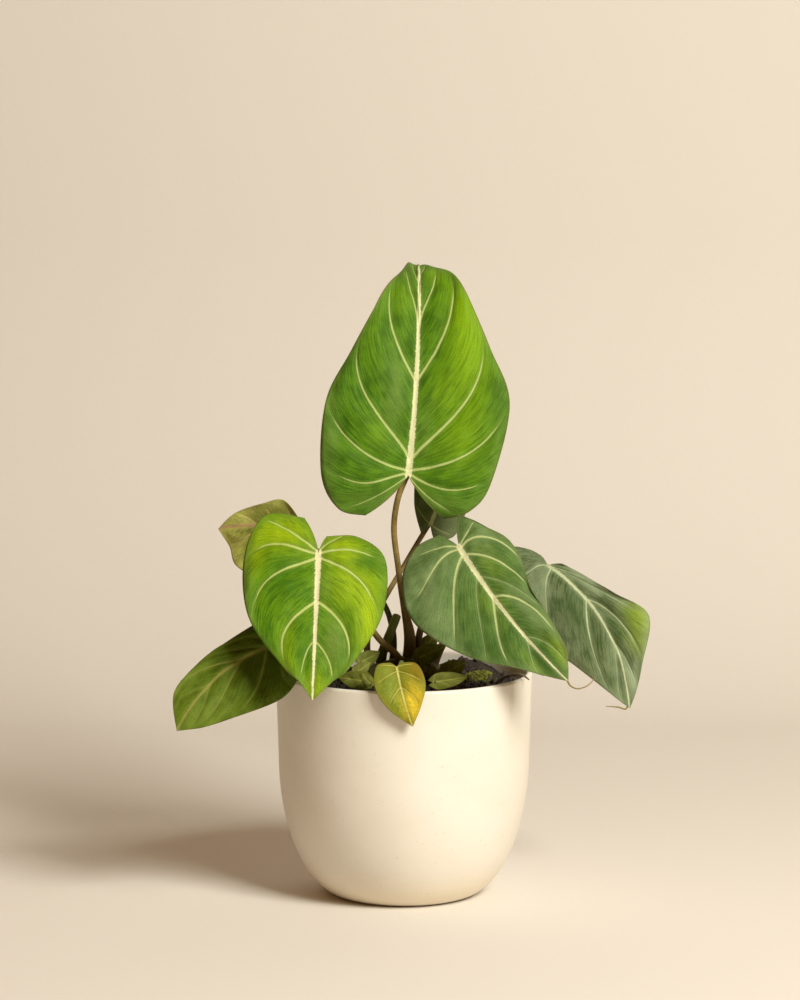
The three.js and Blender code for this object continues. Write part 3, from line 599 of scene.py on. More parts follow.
def distance_to_line(points, line):
    """The distance of each point from a line of short straight stretches, and the share of the
    way along it where it is nearest."""
    a, b = line[:-1], line[1:]
    ab = b - a
    ap = points[:, None] - a[None]
    share = np.clip((ap * ab).sum(-1) / np.maximum((ab * ab).sum(-1), 1e-9), 0, 1)
    gap = np.linalg.norm(ap - share[..., None] * ab, axis=-1)
    best = gap.argmin(1)
    row = np.arange(len(points))
    return gap[row, best], (best + share[row, best]) / (len(line) - 1)


def clustered(count, crowding):
    """Shares from 0 to 1 that crowd towards both ends."""
    x = np.arange(count) / count
    return x - crowding * np.sin(2 * np.pi * x) / (2 * np.pi)


def vein_marks(leaf, side, s, flat, t):
    """For each grid point: its distance from the nearest side vein and that vein's half width
    there, which falls below 0 past the vein's visible end."""
    roots, _, _, widths = vein_lines(leaf, side)
    along = np.linspace(0, 1, 70)
    lines, _ = half_blade(leaf, side, np.arange(len(roots), dtype=float), along)
    gap = np.full(flat.shape[:2], 99.0)
    width = np.full(flat.shape[:2], -1.0)
    for k in range(1, len(roots) - 1):
        rows = np.abs(s - k) <= 1.001
        points = flat[rows].reshape(-1, 2)
        near, share = distance_to_line(points, lines[k])
        taper = widths[k] * (0.85 - 0.6 * share) - 0.9 * smooth_step(0.74, 0.97, share)
        shape = (rows.sum(), len(t))
        near, taper = near.reshape(shape), taper.reshape(shape)
        closer = near - taper < gap[rows] - width[rows]
        gap[rows] = np.where(closer, near, gap[rows])
        width[rows] = np.where(closer, taper, width[rows])
    return gap, width


def blade_grid(leaf, side, per_line, bands):
    """Half a blade's points in place and flat, and the marks that its form and material read."""
    lines = len(vein_lines(leaf, side)[0]) - 1
    share = clustered(per_line, CROWDING)
    s = np.concatenate([(np.arange(lines)[:, None] + share).ravel(), [lines]])
    t = np.linspace(0, 1, bands + 1) ** 1.2
    flat, place = half_blade(leaf, side, s, t)
    gap, width = vein_marks(leaf, side, s, flat, t)
    x, y = flat[..., 0], flat[..., 1]
    off = np.hypot(y - midrib_sway(leaf, x), np.minimum(x, 0))
    core = np.interp(np.clip(x / leaf["ribs"][-1][0], 0, 1), [0, 1], leaf["midrib"])
    rim = np.concatenate([flat[0], flat[:, -1]])
    edge, _ = distance_to_line(flat.reshape(-1, 2), rim)
    spacing = np.linalg.norm(np.gradient(flat, axis=0), axis=-1)
    spacing /= np.maximum(np.gradient(s)[:, None], 1e-6)
    marks = dict(gap=gap, width=width, off=off, core=core, edge=edge.reshape(gap.shape),
                 phase=s[:, None] + 0 * y, share=t[None, :] + 0 * y, spacing=spacing)
    return into_place(leaf, blade_relief(leaf, side, flat, place, t)), flat, marks


def tint_strength(tint, look, flat):
    """The strength of one tint at each flat point: the sum of soft round patches."""
    total = np.zeros(flat.shape[:-1])
    for kind, x, y, along, across, strength in look["patches"]:
        if kind == tint:
            ahead = (flat[..., 0] - x) / along
            aside = (flat[..., 1] - y) / across
            total += strength * np.exp(-ahead ** 2 - aside ** 2)
    return np.clip(total, 0, 1)


def joined_halves(leaf, look, per_line, bands):
    """Both halves of a blade in one numbering: points in place and flat, triangles, pairs of points
    along the rim, and marks."""
    points, flats, faces, edges, marks = [], [], [], [], []
    start = 0
    for side in (1, -1):
        placed, flat, half_marks = blade_grid(leaf, side, per_line, bands)
        for tint in TINTS:
            half_marks[tint] = tint_strength(tint, look, flat)
        rows, columns = placed.shape[:2]
        points.append(placed.reshape(-1, 3))
        flats.append(flat.reshape(-1, 2))
        faces.append(grid_triangles(points[-1], rows, columns)[:, ::side] + start)
        margin = start + np.arange(rows) * columns + columns - 1
        back = start + np.arange(columns)
        edges += [np.stack([line[:-1], line[1:]], 1)[:, ::side] for line in (margin, back)]
        marks.append(half_marks)
        start += rows * columns
    marks = {key: np.concatenate([half[key].ravel() for half in marks]) for key in marks[0]}
    return *(np.concatenate(parts) for parts in (points, flats, faces, edges)), marks


def make_blade(name, leaf, look, material, nodes, per_line=20, bands=34, thickness=0.7):
    """A leaf blade as a closed shell. The lamina swells between the veins, with fine pleats along
    them, and the veins stand out on the lower face. It thins to its margin."""
    points, flats, faces, edges, marks = joined_halves(leaf, look, per_line, bands)
    first, merged, triangles, old = weld(points, faces)
    kept = {key: values[first] for key, values in marks.items()}
    sheet, edge, off, core = points[first], kept["edge"], kept["off"], kept["core"]
    phase, share, spacing = kept["phase"], kept["share"], kept["spacing"]
    vein = np.exp(-(kept["gap"] / VEIN_REACH) ** 2)
    strong = np.clip(kept["width"], 0, None)

    inside = smooth_step(0, 6, edge)
    swell = SWELL * np.minimum(spacing, 40) * np.sin(np.pi * (phase % 1)) ** 1.5
    pleats = np.sin(2 * np.pi * (PLEATS * phase + 0.25 * np.sin(5 * share)))
    fine = PLEAT_DEPTH * np.minimum(spacing, 30) * pleats * (0.4 + 0.6 * share)
    groove = GROOVE_DEPTH * np.exp(-(off / GROOVE_REACH) ** 2)
    lift = inside * (swell + fine) - groove * smooth_step(0, 5, edge)
    lift += SOFT_WAVES * inside * crossing_waves(flats[first], SOFT_WAVE_SIZE, 5)
    normal = vertex_normals(sheet, triangles)
    upper = sheet + normal * (lift - VEIN_SINK * strong * vein)[:, None]
    normal = vertex_normals(upper, triangles)
    thick = blend_between(MARGIN_THICKNESS, thickness, smooth_step(0, 4, edge))
    keel = KEEL_RISE * core * np.exp(-(off / core.clip(0.8)) ** 2)
    ridge = KEEL_RISE * strong * vein
    thick = thick + (keel + ridge) * smooth_step(0, 6, edge)
    lower = upper - normal * thick[:, None]

    count = len(upper)
    rims = merged[edges]
    apart = rims[:, 0] != rims[:, 1]
    (a, b), (old_a, old_b) = rims[apart].T, edges[apart].T
    all_faces = np.concatenate([triangles, triangles[:, ::-1] + count,
                                np.stack([a, b, b + count], 1),
                                np.stack([a, b + count, a + count], 1)])
    all_old = np.concatenate([old, old[:, ::-1], np.stack([old_a, old_b, old_b], 1),
                              np.stack([old_a, old_b, old_a], 1)]).ravel()
    both = {key: np.concatenate([kept[key], kept[key]]) for key in MATERIAL_MARKS}
    both["upper"] = np.concatenate([np.ones(count), np.zeros(count)])
    corner_maps = {
        "plan": flats[all_old] * PLAN_SCALE,
        "rays": np.stack([marks["phase"], marks["share"]], -1)[all_old],
    }
    return make_piece(name, np.concatenate([upper, lower]), all_faces, material, nodes,
                      corner_maps, both)


# Round stalks


def ring_frames(path):
    """Two directions square to the path at each of its points, carried along it without twist."""
    tangent = np.gradient(path, axis=0)
    tangent /= np.linalg.norm(tangent, axis=1, keepdims=True)
    one = np.zeros_like(path)
    seed = np.eye(3)[np.argmin(np.abs(tangent[0]))]
    for i, ahead in enumerate(tangent):
        seed = seed - ahead * (seed @ ahead)
        seed = seed / np.linalg.norm(seed)
        one[i] = seed
    return one, np.cross(tangent, one), tangent


def tube_surface(route, rings, around, shape=None):
    """A round stalk along [x, y, z, radius] points, closed at both ends by a shrunken dome of
    rings. shape(angle, share, radius) gives the radius its ridges and bumps."""
    route = np.asarray(route, float)
    smooth = smooth_through(route, np.linspace(0, len(route) - 1, rings))
    path, radius = smooth[:, :3], smooth[:, 3]
    one, two, tangent = ring_frames(path)
    angle = 2 * np.pi * np.arange(around) / around
    share = np.linspace(0, 1, rings)
    wide = radius[:, None] + 0 * angle[None]
    if shape:
        wide = shape(angle[None], share[:, None], wide)
    body = path[:, None] + wide[..., None] * (np.cos(angle)[None, :, None] * one[:, None]
                                              + np.sin(angle)[None, :, None] * two[:, None])
    caps = []
    for end, way in ((0, -1), (-1, 1)):
        dome = []
        for turn in np.radians(DOME_TURNS):
            centre = path[end] + way * tangent[end] * radius[end] * 0.5 * np.sin(turn)
            dome.append(centre + (body[end] - path[end]) * np.cos(turn))
        caps.append(np.array(dome))
    body = np.concatenate([caps[0][::-1], body, caps[1]])
    points, triangles = capped_rings(body, caps[0][-1].mean(0), caps[1][-1].mean(0))
    share = np.concatenate([np.zeros(3), share, np.ones(3)])
    length = np.linalg.norm(np.diff(path, axis=0), axis=1).sum()
    along = np.concatenate([np.repeat(share, around), [0, 1]])
    turned = np.concatenate([np.tile(angle / (2 * np.pi), len(body)), [0, 0]])
    return points, triangles, dict(reach=along * length, turned=np.abs(turned - 0.5) * 2)


def make_stalk(name, route, material, nodes, rings=60, around=24, shape=None):
    """One round stalk as a piece."""
    points, triangles, marks = tube_surface(route, rings, around, shape)
    return make_piece(name, points, triangles, material, nodes, marks=marks)


# Node helpers. A value that is a socket is linked, and any other is set.


def node(tree, kind, inputs=None, **settings):
    """Adds a node with its settings and inputs."""
    made = tree.nodes.new(kind)
    for key, value in settings.items():
        setattr(made, key, value)
    for key, value in (inputs or {}).items():
        feed(tree, made.inputs[key], value)
    return made


def feed(tree, socket, value):
    """Links or sets one input."""
    if isinstance(value, bpy.types.NodeSocket):
        tree.links.new(value, socket)
    elif isinstance(value, tuple) and len(value) == 3 and socket.type == "RGBA":
        socket.default_value = (*value, 1)
    else:
        socket.default_value = value


def maths(tree, operation, a, b=0.0, c=0.0):
    """One arithmetic step."""
    return node(tree, "ShaderNodeMath", {0: a, 1: b, 2: c}, operation=operation).outputs[0]


def weighed(tree, a, part_a, b, part_b):
    """The sum of a and b, each times its part."""
    return maths(tree, "ADD", maths(tree, "MULTIPLY", a, part_a),
                 maths(tree, "MULTIPLY", b, part_b))


def held(tree, value):
    """value held between 0 and 1."""
    return node(tree, "ShaderNodeClamp", {"Value": value}).outputs["Result"]


def blend_colour(tree, share, a, b, blend_type="MIX"):
    """Colour a where share is 0 and b where it is 1."""
    made = node(tree, "ShaderNodeMix", data_type="RGBA", blend_type=blend_type)
    feed(tree, made.inputs["Factor"], share)
    feed(tree, made.inputs[6], a)
    feed(tree, made.inputs[7], b)
    return made.outputs[2]


def rise_between(tree, value, low, high, to_low=0.0, to_high=1.0):
    """A smooth rise from to_low to to_high as value goes from low to high."""
    made = node(tree, "ShaderNodeMapRange", interpolation_type="SMOOTHSTEP")
    for key, given in (("Value", value), ("From Min", low), ("From Max", high),
                       ("To Min", to_low), ("To Max", to_high)):
        feed(tree, made.inputs[key], given)
    return made.outputs["Result"]


def mark(tree, name):
    """A number that the mesh holds for each point."""
    return node(tree, "ShaderNodeAttribute", attribute_name=name).outputs["Fac"]


def speckle(tree, vector, scale, detail=2.0, roughness=0.5):
    """Cloudy noise between 0 and 1."""
    made = node(tree, "ShaderNodeTexNoise", {
        "Vector": vector, "Scale": scale, "Detail": detail, "Roughness": roughness})
    return made.outputs["Fac"]


def stretched(tree, vector, scale):
    """A vector whose three parts are scaled apart."""
    return node(tree, "ShaderNodeMapping", {"Vector": vector, "Scale": scale}).outputs["Vector"]


def own_place(tree):
    """Each spot's place in the piece's own frame, in metres."""
    return node(tree, "ShaderNodeTexCoord").outputs["Object"]


def new_group(name, inputs, outputs):
    """An empty shader node group. inputs and outputs are (name, socket kind) pairs."""
    tree = bpy.data.node_groups.new(name, "ShaderNodeTree")
    for label, kind in inputs:
        tree.interface.new_socket(label, in_out="INPUT", socket_type=kind)
    for label, kind in outputs:
        tree.interface.new_socket(label, in_out="OUTPUT", socket_type=kind)
    return tree, tree.nodes.new("NodeGroupInput"), tree.nodes.new("NodeGroupOutput")


NUMBER, COLOUR, VECTOR = "NodeSocketFloat", "NodeSocketColor", "NodeSocketVector"


def frayed_line_group():
    """A pale line with feathered edges: 1 where the distance is under the half width, which noise
    makes wider and narrower, and short hairs branch off it."""
    tree, given, result = new_group(
        "frayed_line", [("Distance", NUMBER), ("Half width", NUMBER), ("Plan", VECTOR),
                        ("Fray", NUMBER)], [("Line", NUMBER)])
    plan, half_width = given.outputs["Plan"], given.outputs["Half width"]
    noise = weighed(tree, speckle(tree, plan, 60), 0.5, speckle(tree, plan, 190), 0.5)
    uneven = maths(tree, "MULTIPLY", maths(tree, "SUBTRACT", noise, 0.5), given.outputs["Fray"])
    reach = maths(tree, "ADD", maths(tree, "MAXIMUM", half_width, 0.0), 0.15)
    width = maths(tree, "MULTIPLY_ADD", maths(tree, "MULTIPLY", uneven, reach), 2.6, half_width)
    inside = maths(tree, "SUBTRACT", width, given.outputs["Distance"])
    feed(tree, result.inputs["Line"], rise_between(tree, inside, *LINE_SOFTNESS))
    return tree


def velvet_group():
    """The lamina between the veins: deep and lighter green in streaks that follow the veins, soft
    patches of the tints, and the fine grain of the velvet. The grey tint is painted sheen, the lime
    tint partly painted light, and the deep tint in places painted shade."""
    tree, given, result = new_group(
        "velvet_lamina", [("Plan", VECTOR), ("Rays", VECTOR), ("Deep tint", NUMBER),
                          ("Lime tint", NUMBER), ("Grey tint", NUMBER), ("Deep", COLOUR),
                          ("Mid", COLOUR), ("Lime", COLOUR), ("Grey", COLOUR)],
        [("Colour", COLOUR), ("Grain", NUMBER)])
    out = given.outputs
    streaks = speckle(tree, stretched(tree, out["Rays"], STREAK_STRETCH), 26, 3, 0.65)
    clouds = speckle(tree, out["Plan"], 7, 3)
    grain = speckle(tree, out["Plan"], 130, 2, 0.6)
    share = weighed(tree, streaks, 0.65, clouds, 0.35)
    colour = blend_colour(tree, rise_between(tree, share, 0.41, 0.58), out["Deep"], out["Mid"])
    for tint, uneven in (("Lime", rise_between(tree, streaks, 0.3, 0.62, 0.55, 1.1)),
                         ("Grey", rise_between(tree, clouds, 0.3, 0.65, 0.6, 1.2))):
        amount = held(tree, maths(tree, "MULTIPLY", out[f"{tint} tint"], uneven))
        colour = blend_colour(tree, amount, colour, out[tint])
    colour = blend_colour(tree, out["Deep tint"], colour, out["Deep"])
    hairs = speckle(tree, stretched(tree, out["Rays"], HAIR_STRETCH), 70, 2, 0.6)
    light = maths(tree, "MULTIPLY", rise_between(tree, grain, 0.3, 0.7, 0.84, 1.16),
                  rise_between(tree, hairs, 0.35, 0.65, 0.88, 1.12))
    light = node(tree, "ShaderNodeCombineXYZ", {0: light, 1: light, 2: light}).outputs[0]
    colour = blend_colour(tree, 1.0, colour, light, "MULTIPLY")
    feed(tree, result.inputs["Colour"], colour)
    feed(tree, result.inputs["Grain"], grain)
    return tree


FRAYED_LINE = frayed_line_group()
VELVET = velvet_group()


def new_material(name):
    """A material with its node tree and its Principled BSDF."""
    material = bpy.data.materials.new(name)
    material.use_nodes = True
    return material, material.node_tree, material.node_tree.nodes["Principled BSDF"]


def dress(tree, shader, colour, roughness, height, strength, distance):
    """Gives a shader its colour and roughness, and a bump from height, distance in metres."""
    bump = node(tree, "ShaderNodeBump", {"Height": height, "Strength": strength,
                                         "Distance": distance})
    for key, value in (("Base Color", colour), ("Roughness", roughness),
                       ("Normal", bump.outputs[0])):
        feed(tree, shader.inputs[key], value)


def leaf_material(name, look, fray=0.8, rim=0.35):
    """Velvet green with painted sheen in grey patches and along the margin, pale frayed veins and a
    thin margin that is brown in places. The lower face is plainer, with a brownish midrib."""
    material, tree, shader = new_material(name)
    plan = node(tree, "ShaderNodeUVMap", uv_map="plan").outputs[0]
    rays = node(tree, "ShaderNodeUVMap", uv_map="rays").outputs[0]
    edge = mark(tree, "edge")
    # Painted velvet sheen: the grey tint grows towards the margin, where the pile catches the
    # light.
    painted_edge_sheen = rise_between(tree, edge, 0.5, 8.0, 0.32, 0.0)
    velvet = node(tree, "ShaderNodeGroup", {
        "Plan": plan, "Rays": rays, "Deep tint": mark(tree, DEEP), "Lime tint": mark(tree, LIME),
        "Grey tint": maths(tree, "ADD", mark(tree, GREY), painted_edge_sheen), "Deep": look["deep"],
        "Mid": look["mid"], "Lime": look["lime"], "Grey": look["grey"]}, node_tree=VELVET)
    colour, grain = velvet.outputs["Colour"], velvet.outputs["Grain"]
    lines = []
    for gap, width, part, reach, strength in (("gap", "width", 0.6, 2.4, 0.30),
                                              ("off", "core", 1.0, 3.0, 0.45)):
        gap, width = mark(tree, gap), mark(tree, width)
        lines.append(node(tree, "ShaderNodeGroup", {
            "Distance": gap, "Half width": width, "Plan": plan, "Fray": part * fray},
            node_tree=FRAYED_LINE).outputs[0])
        past = maths(tree, "SUBTRACT", gap, width)
        halo = rise_between(tree, past, 0.0, reach, strength, 0.0)
        colour = blend_colour(tree, halo, colour, look["grey"])
    side_vein, midrib = lines
    colour = blend_colour(tree, side_vein, colour, look["vein"])
    colour = blend_colour(tree, midrib, colour, look["core"])
    margin = maths(tree, "MULTIPLY", rise_between(tree, edge, 0.2, 0.75, 1.0, 0.0),
                   rise_between(tree, speckle(tree, plan, 5), 0.38, 0.56, 0.25 * rim, rim))
    colour = blend_colour(tree, margin, colour, MARGIN_BROWN)
    pale = tuple(0.55 * a + 0.45 * b for a, b in zip(look["mid"], look["grey"]))
    under = blend_colour(tree, speckle(tree, plan, 22, 3), look["mid"], pale)
    under = blend_colour(tree, maths(tree, "MULTIPLY", side_vein, 0.5), under, look["vein"])
    under = blend_colour(tree, maths(tree, "MULTIPLY", midrib, 0.8), under, UNDER_MIDRIB)
    colour = blend_colour(tree, mark(tree, "upper"), under, colour)
    dress(tree, shader, colour, rise_between(tree, grain, 0.3, 0.7, 0.58, 0.74),
          weighed(tree, grain, 0.5, side_vein, 0.25), 0.35, 0.0003)
    shader.inputs["Specular IOR Level"].default_value = 0.12
    shader.inputs["Sheen Weight"].default_value = 0.05
    shader.inputs["Sheen Roughness"].default_value = 0.5
    shader.inputs["Sheen Tint"].default_value = (0.7, 0.95, 0.2, 1)
    return material


def stalk_material(name, low, high, base, fleck):
    """A petiole: long fibres, flecks, and a darker base."""
    material, tree, shader = new_material(name)
    where, reach = own_place(tree), mark(tree, "reach")
    fibre_at = node(tree, "ShaderNodeCombineXYZ", {0: mark(tree, "turned"), 1: reach}).outputs[0]
    fibres = speckle(tree, stretched(tree, fibre_at, FIBRE_STRETCH), 1.0, 3, 0.6)
    clouds = speckle(tree, where, 90, 3)
    flecks = speckle(tree, where, 900)
    share = weighed(tree, fibres, 0.55, clouds, 0.45)
    colour = blend_colour(tree, rise_between(tree, share, 0.35, 0.65), low, high)
    colour = blend_colour(tree, rise_between(tree, reach, 6.0, 32.0, 1.0, 0.0), colour, base)
    colour = blend_colour(tree, rise_between(tree, flecks, 0.55, 0.7, 0.0, 0.55), colour, fleck)
    dress(tree, shader, colour, rise_between(tree, clouds, 0.3, 0.7, 0.42, 0.62),
          weighed(tree, fibres, 0.7, flecks, 0.3), 0.5, 0.0004)
    shader.inputs["Specular IOR Level"].default_value = 0.25
    return material


def glaze_material():
    """Cream glaze with faint clouds, sparse specks, a fine orange peel and painted warm bounce
    light from the floor at the foot.
    """
    material, tree, shader = new_material("pot_glaze")
    where = own_place(tree)
    height = node(tree, "ShaderNodeSeparateXYZ", {0: where}).outputs["Z"]
    clouds = speckle(tree, where, 16, 4)
    grains = speckle(tree, where, 420)
    colour = blend_colour(tree, rise_between(tree, clouds, 0.35, 0.65), (0.735, 0.685, 0.59),
                          (0.775, 0.73, 0.64))
    # Painted warm bounce light from the floor, strongest at the foot.
    warm = rise_between(tree, height, 0.0, 0.035, 0.55, 0.0)
    colour = blend_colour(tree, warm, colour, (0.84, 0.72, 0.50))
    specks = rise_between(tree, grains, 0.66, 0.74, 0.0, 0.35)
    colour = blend_colour(tree, specks, colour, (0.62, 0.50, 0.36))
    dress(tree, shader, colour, rise_between(tree, clouds, 0.3, 0.7, 0.36, 0.46), grains, 0.12,
          0.0003)
    return material


def earth_material(name, dark, light, bright, scale):
    """Crumbly matter in three tones with rough bump."""
    material, tree, shader = new_material(name)
    where = own_place(tree)
    broad = speckle(tree, where, scale, 4)
    fine = speckle(tree, where, scale * 6, 3, 0.65)
    colour = blend_colour(tree, rise_between(tree, broad, 0.35, 0.62), dark, light)
    colour = blend_colour(tree, rise_between(tree, fine, 0.55, 0.72, 0.0, 0.8), colour, bright)
    dress(tree, shader, colour, rise_between(tree, fine, 0.3, 0.7, 0.75, 0.95),
          weighed(tree, broad, 0.5, fine, 0.5), 0.9, 0.001)
    return material


# The pot


def outer_radius(z):
    """A rounded belly up to the shoulder, then a nearly straight wall."""
    up = (z - SHOULDER_HEIGHT) / (POT_HEIGHT - SHOULDER_HEIGHT)
    down = np.clip((SHOULDER_HEIGHT - z) / SHOULDER_HEIGHT, 0, 1)
    belly = FOOT_RADIUS + (SHOULDER_RADIUS - FOOT_RADIUS) * (1 - down ** 2) ** (1 / BELLY_EXPONENT)
    wall = blend_between(SHOULDER_RADIUS, RIM_RADIUS, up)
    return np.where(z >= SHOULDER_HEIGHT, wall, belly)


def make_pot(around=180):
    """The pot turned from its profile: foot, belly, rounded lip, inner wall and floor."""
    lip = POT_WALL / 2
    outer = (POT_HEIGHT - lip) * np.linspace(0, 1, 60)[1:] ** 1.7
    inner = np.linspace(POT_HEIGHT - lip, POT_FLOOR, 40)
    profile = [[AXIS_GAP, 0], [FOOT_RADIUS - 4, 0], [FOOT_RADIUS - 1.2, 0.05]]
    profile += [[radius, z] for radius, z in zip(outer_radius(outer), outer)]
    for turn in np.radians(np.linspace(15, 165, 11)):
        profile.append([RIM_RADIUS - lip + lip * np.cos(turn),
                        POT_HEIGHT - lip + lip * np.sin(turn)])
    profile += [[radius - POT_WALL, z] for radius, z in zip(outer_radius(inner), inner)]
    profile = np.array(profile + [[AXIS_GAP, POT_FLOOR]])
    angle = 2 * np.pi * np.arange(around) / around
    radius, z = profile[:, :1], profile[:, 1:]
    points = np.stack([radius * np.cos(angle), radius * np.sin(angle), z + 0 * angle], -1)
    return make_piece("pot_glazed", points.reshape(-1, 3), ring_quads(len(profile), around),
                      glaze_material(), ["pot"])


# The filling


def mix_height(x, y):
    """A low mound with clods: two crossing waves."""
    mound = MIX_MOUND * (1 - (x * x + y * y) / RIM_RADIUS ** 2)
    clods = 0.9 * np.sin(x / 5 + 2 * np.sin(y / 11)) + 0.8 * np.sin(y / 4.3 + x / 9)
    return MIX_LEVEL + mound + clods


def heap(x, y):
    """A mound of bark against the wall at the back right, which covers the inner wall there."""
    ahead, aside = (x - HEAP["at"][0]) / HEAP["reach"][0], (y - HEAP["at"][1]) / HEAP["reach"][1]
    return HEAP["height"] * np.exp(-ahead ** 2 - aside ** 2)


def make_mix(rings=90, around=220):
    """The top of the potting mix, rough with crumbs, over a plain body that fills the pot."""
    rim = outer_radius(np.array(MIX_LEVEL)) - POT_WALL - MIX_CLEARANCE
    radius = np.linspace(0.02, 1, rings)[:, None] * rim
    angle = 2 * np.pi * np.arange(around)[None] / around
    x, y = radius * np.cos(angle), radius * np.sin(angle)
    crumbs = CRUMB_HEIGHT * crossing_waves(np.stack([x, y], -1), 9, 3, 4)
    z = mix_height(x, y) + heap(x, y) + crumbs - 0.6
    levels = np.linspace(MIX_LEVEL - 4, POT_FLOOR + 1, 16)[:, None]
    wall = outer_radius(levels) - POT_WALL - MIX_CLEARANCE
    wall, levels = np.append(wall, 0.02 * wall[-1:], 0), np.append(levels, levels[-1:], 0)
    body = np.stack([wall * np.cos(angle), wall * np.sin(angle), levels + 0 * angle], -1)
    points, triangles = capped_rings(np.concatenate([np.stack([x, y, z], -1), body]),
                                     [0, 0, z[0].mean()], [0, 0, levels[-1, 0]], True)
    earth = earth_material("potting_mix", (0.006, 0.004, 0.002), (0.022, 0.015, 0.008),
                           (0.06, 0.043, 0.024), 160)
    return make_piece("mix_surface", points, triangles, earth, ["potting_mix"])


def scattered(count, seed, reach, centre=(0, 0)):
    """Spots spread evenly over a round area in a sunflower spiral, each pushed a little aside."""
    draw = np.random.default_rng(seed)
    i = np.arange(count)
    turn = i * np.pi * (3 - np.sqrt(5))
    radius = reach * np.sqrt((i + 0.5) / count)
    spots = np.stack([radius * np.cos(turn), radius * np.sin(turn)], -1)
    return spots + draw.normal(0, reach / np.sqrt(count) * 0.5, (count, 2)) + centre, draw


def turned_copies(shape, faces, spots, sizes, draw):
    """Copies of a small shape, each stretched, turned at random and put on its spot."""
    turn = draw.normal(size=(len(spots), 4))
    turn /= np.linalg.norm(turn, axis=1, keepdims=True)
    w, x, y, z = turn.T
    rotation = np.stack([
        np.stack([1 - 2 * (y * y + z * z), 2 * (x * y - z * w), 2 * (x * z + y * w)], -1),
        np.stack([2 * (x * y + z * w), 1 - 2 * (x * x + z * z), 2 * (y * z - x * w)], -1),
        np.stack([2 * (x * z - y * w), 2 * (y * z + x * w), 1 - 2 * (x * x + y * y)], -1)], 1)
    copies = np.einsum("nij,nkj->nki", rotation, shape[None] * sizes[:, None]) + spots[:, None]
    numbers = faces[None] + (np.arange(len(spots)) * len(shape))[:, None, None]
    return copies.reshape(-1, 3), numbers.reshape(-1, faces.shape[1])


def pebble(rings, around, seed):
    """A small lumpy ball of a few dozen faces."""
    draw = np.random.default_rng(seed)
    polar = (np.pi * (np.arange(rings) + 0.5) / rings)[:, None]
    angle = 2 * np.pi * np.arange(around) / around
    ball = np.stack([np.sin(polar) * np.cos(angle), np.sin(polar) * np.sin(angle),
                     np.cos(polar) + 0 * angle], -1)
    return capped_rings(ball * draw.uniform(0.8, 1.15, (rings, around, 1)), [0, 0, 1], [0, 0, -1],
                        True)


def make_bark():
    """Chips of bark and crumbs over the potting mix."""
    rim = float(outer_radius(np.array(MIX_LEVEL))) - POT_WALL - 4
    spots, draw = scattered(BARK_CHIPS, 11, rim)
    spots = spots[np.hypot(*spots.T) < rim]
    count = len(spots)
    heights = mix_height(*spots.T) + heap(*spots.T) + draw.uniform(-0.6, 0.9, count)
    sizes = np.exp(draw.normal(0.55, 0.4, (count, 1))) * draw.uniform(0.45, 1.3, (count, 3))
    shape, faces = pebble(5, 7, 2)
    points, triangles = turned_copies(shape, faces, np.column_stack([spots, heights]), sizes, draw)
    bark = earth_material("bark_chips", (0.010, 0.006, 0.003), (0.042, 0.027, 0.014),
                          (0.11, 0.075, 0.042), 220)
    return make_piece("bark_chips", points, triangles, bark)


def make_moss():
    """A cushion of moss: small round tufts over a low dome."""
    spots, draw = scattered(MOSS_TUFTS, 5, MOSS["radius"], MOSS["at"])
    away = np.hypot(*(spots - MOSS["at"]).T) / MOSS["radius"]
    spots, away = spots[away < 1.1], away[away < 1.1]
    count = len(spots)
    dome = MOSS["height"] * np.sqrt(np.clip(1 - away ** 2, 0, 1))
    heights = mix_height(*spots.T) + dome + draw.uniform(-0.8, 0.8, count)
    sizes = draw.uniform(0.6, 1.5, (count, 1)) * draw.uniform(0.7, 1.2, (count, 3))
    shape, faces = pebble(4, 6, 7)
    points, triangles = turned_copies(shape, faces, np.column_stack([spots, heights]), sizes, draw)
    green = earth_material("moss", (0.07, 0.08, 0.005), (0.19, 0.19, 0.015),
                           (0.34, 0.32, 0.05), 260)
    return make_piece("moss_tufts", points, triangles, green, ["moss"])


# The floor and the backdrop


def clear_from_behind(tree, shader):
    """Lets the view through where a surface is seen from its back."""
    clear = node(tree, "ShaderNodeBsdfTransparent")
    behind = node(tree, "ShaderNodeNewGeometry").outputs["Backfacing"]
    seen = node(tree, "ShaderNodeMixShader", {0: behind, 1: shader.outputs[0],
                                              2: clear.outputs[0]})
    feed(tree, tree.nodes["Material Output"].inputs["Surface"], seen.outputs[0])


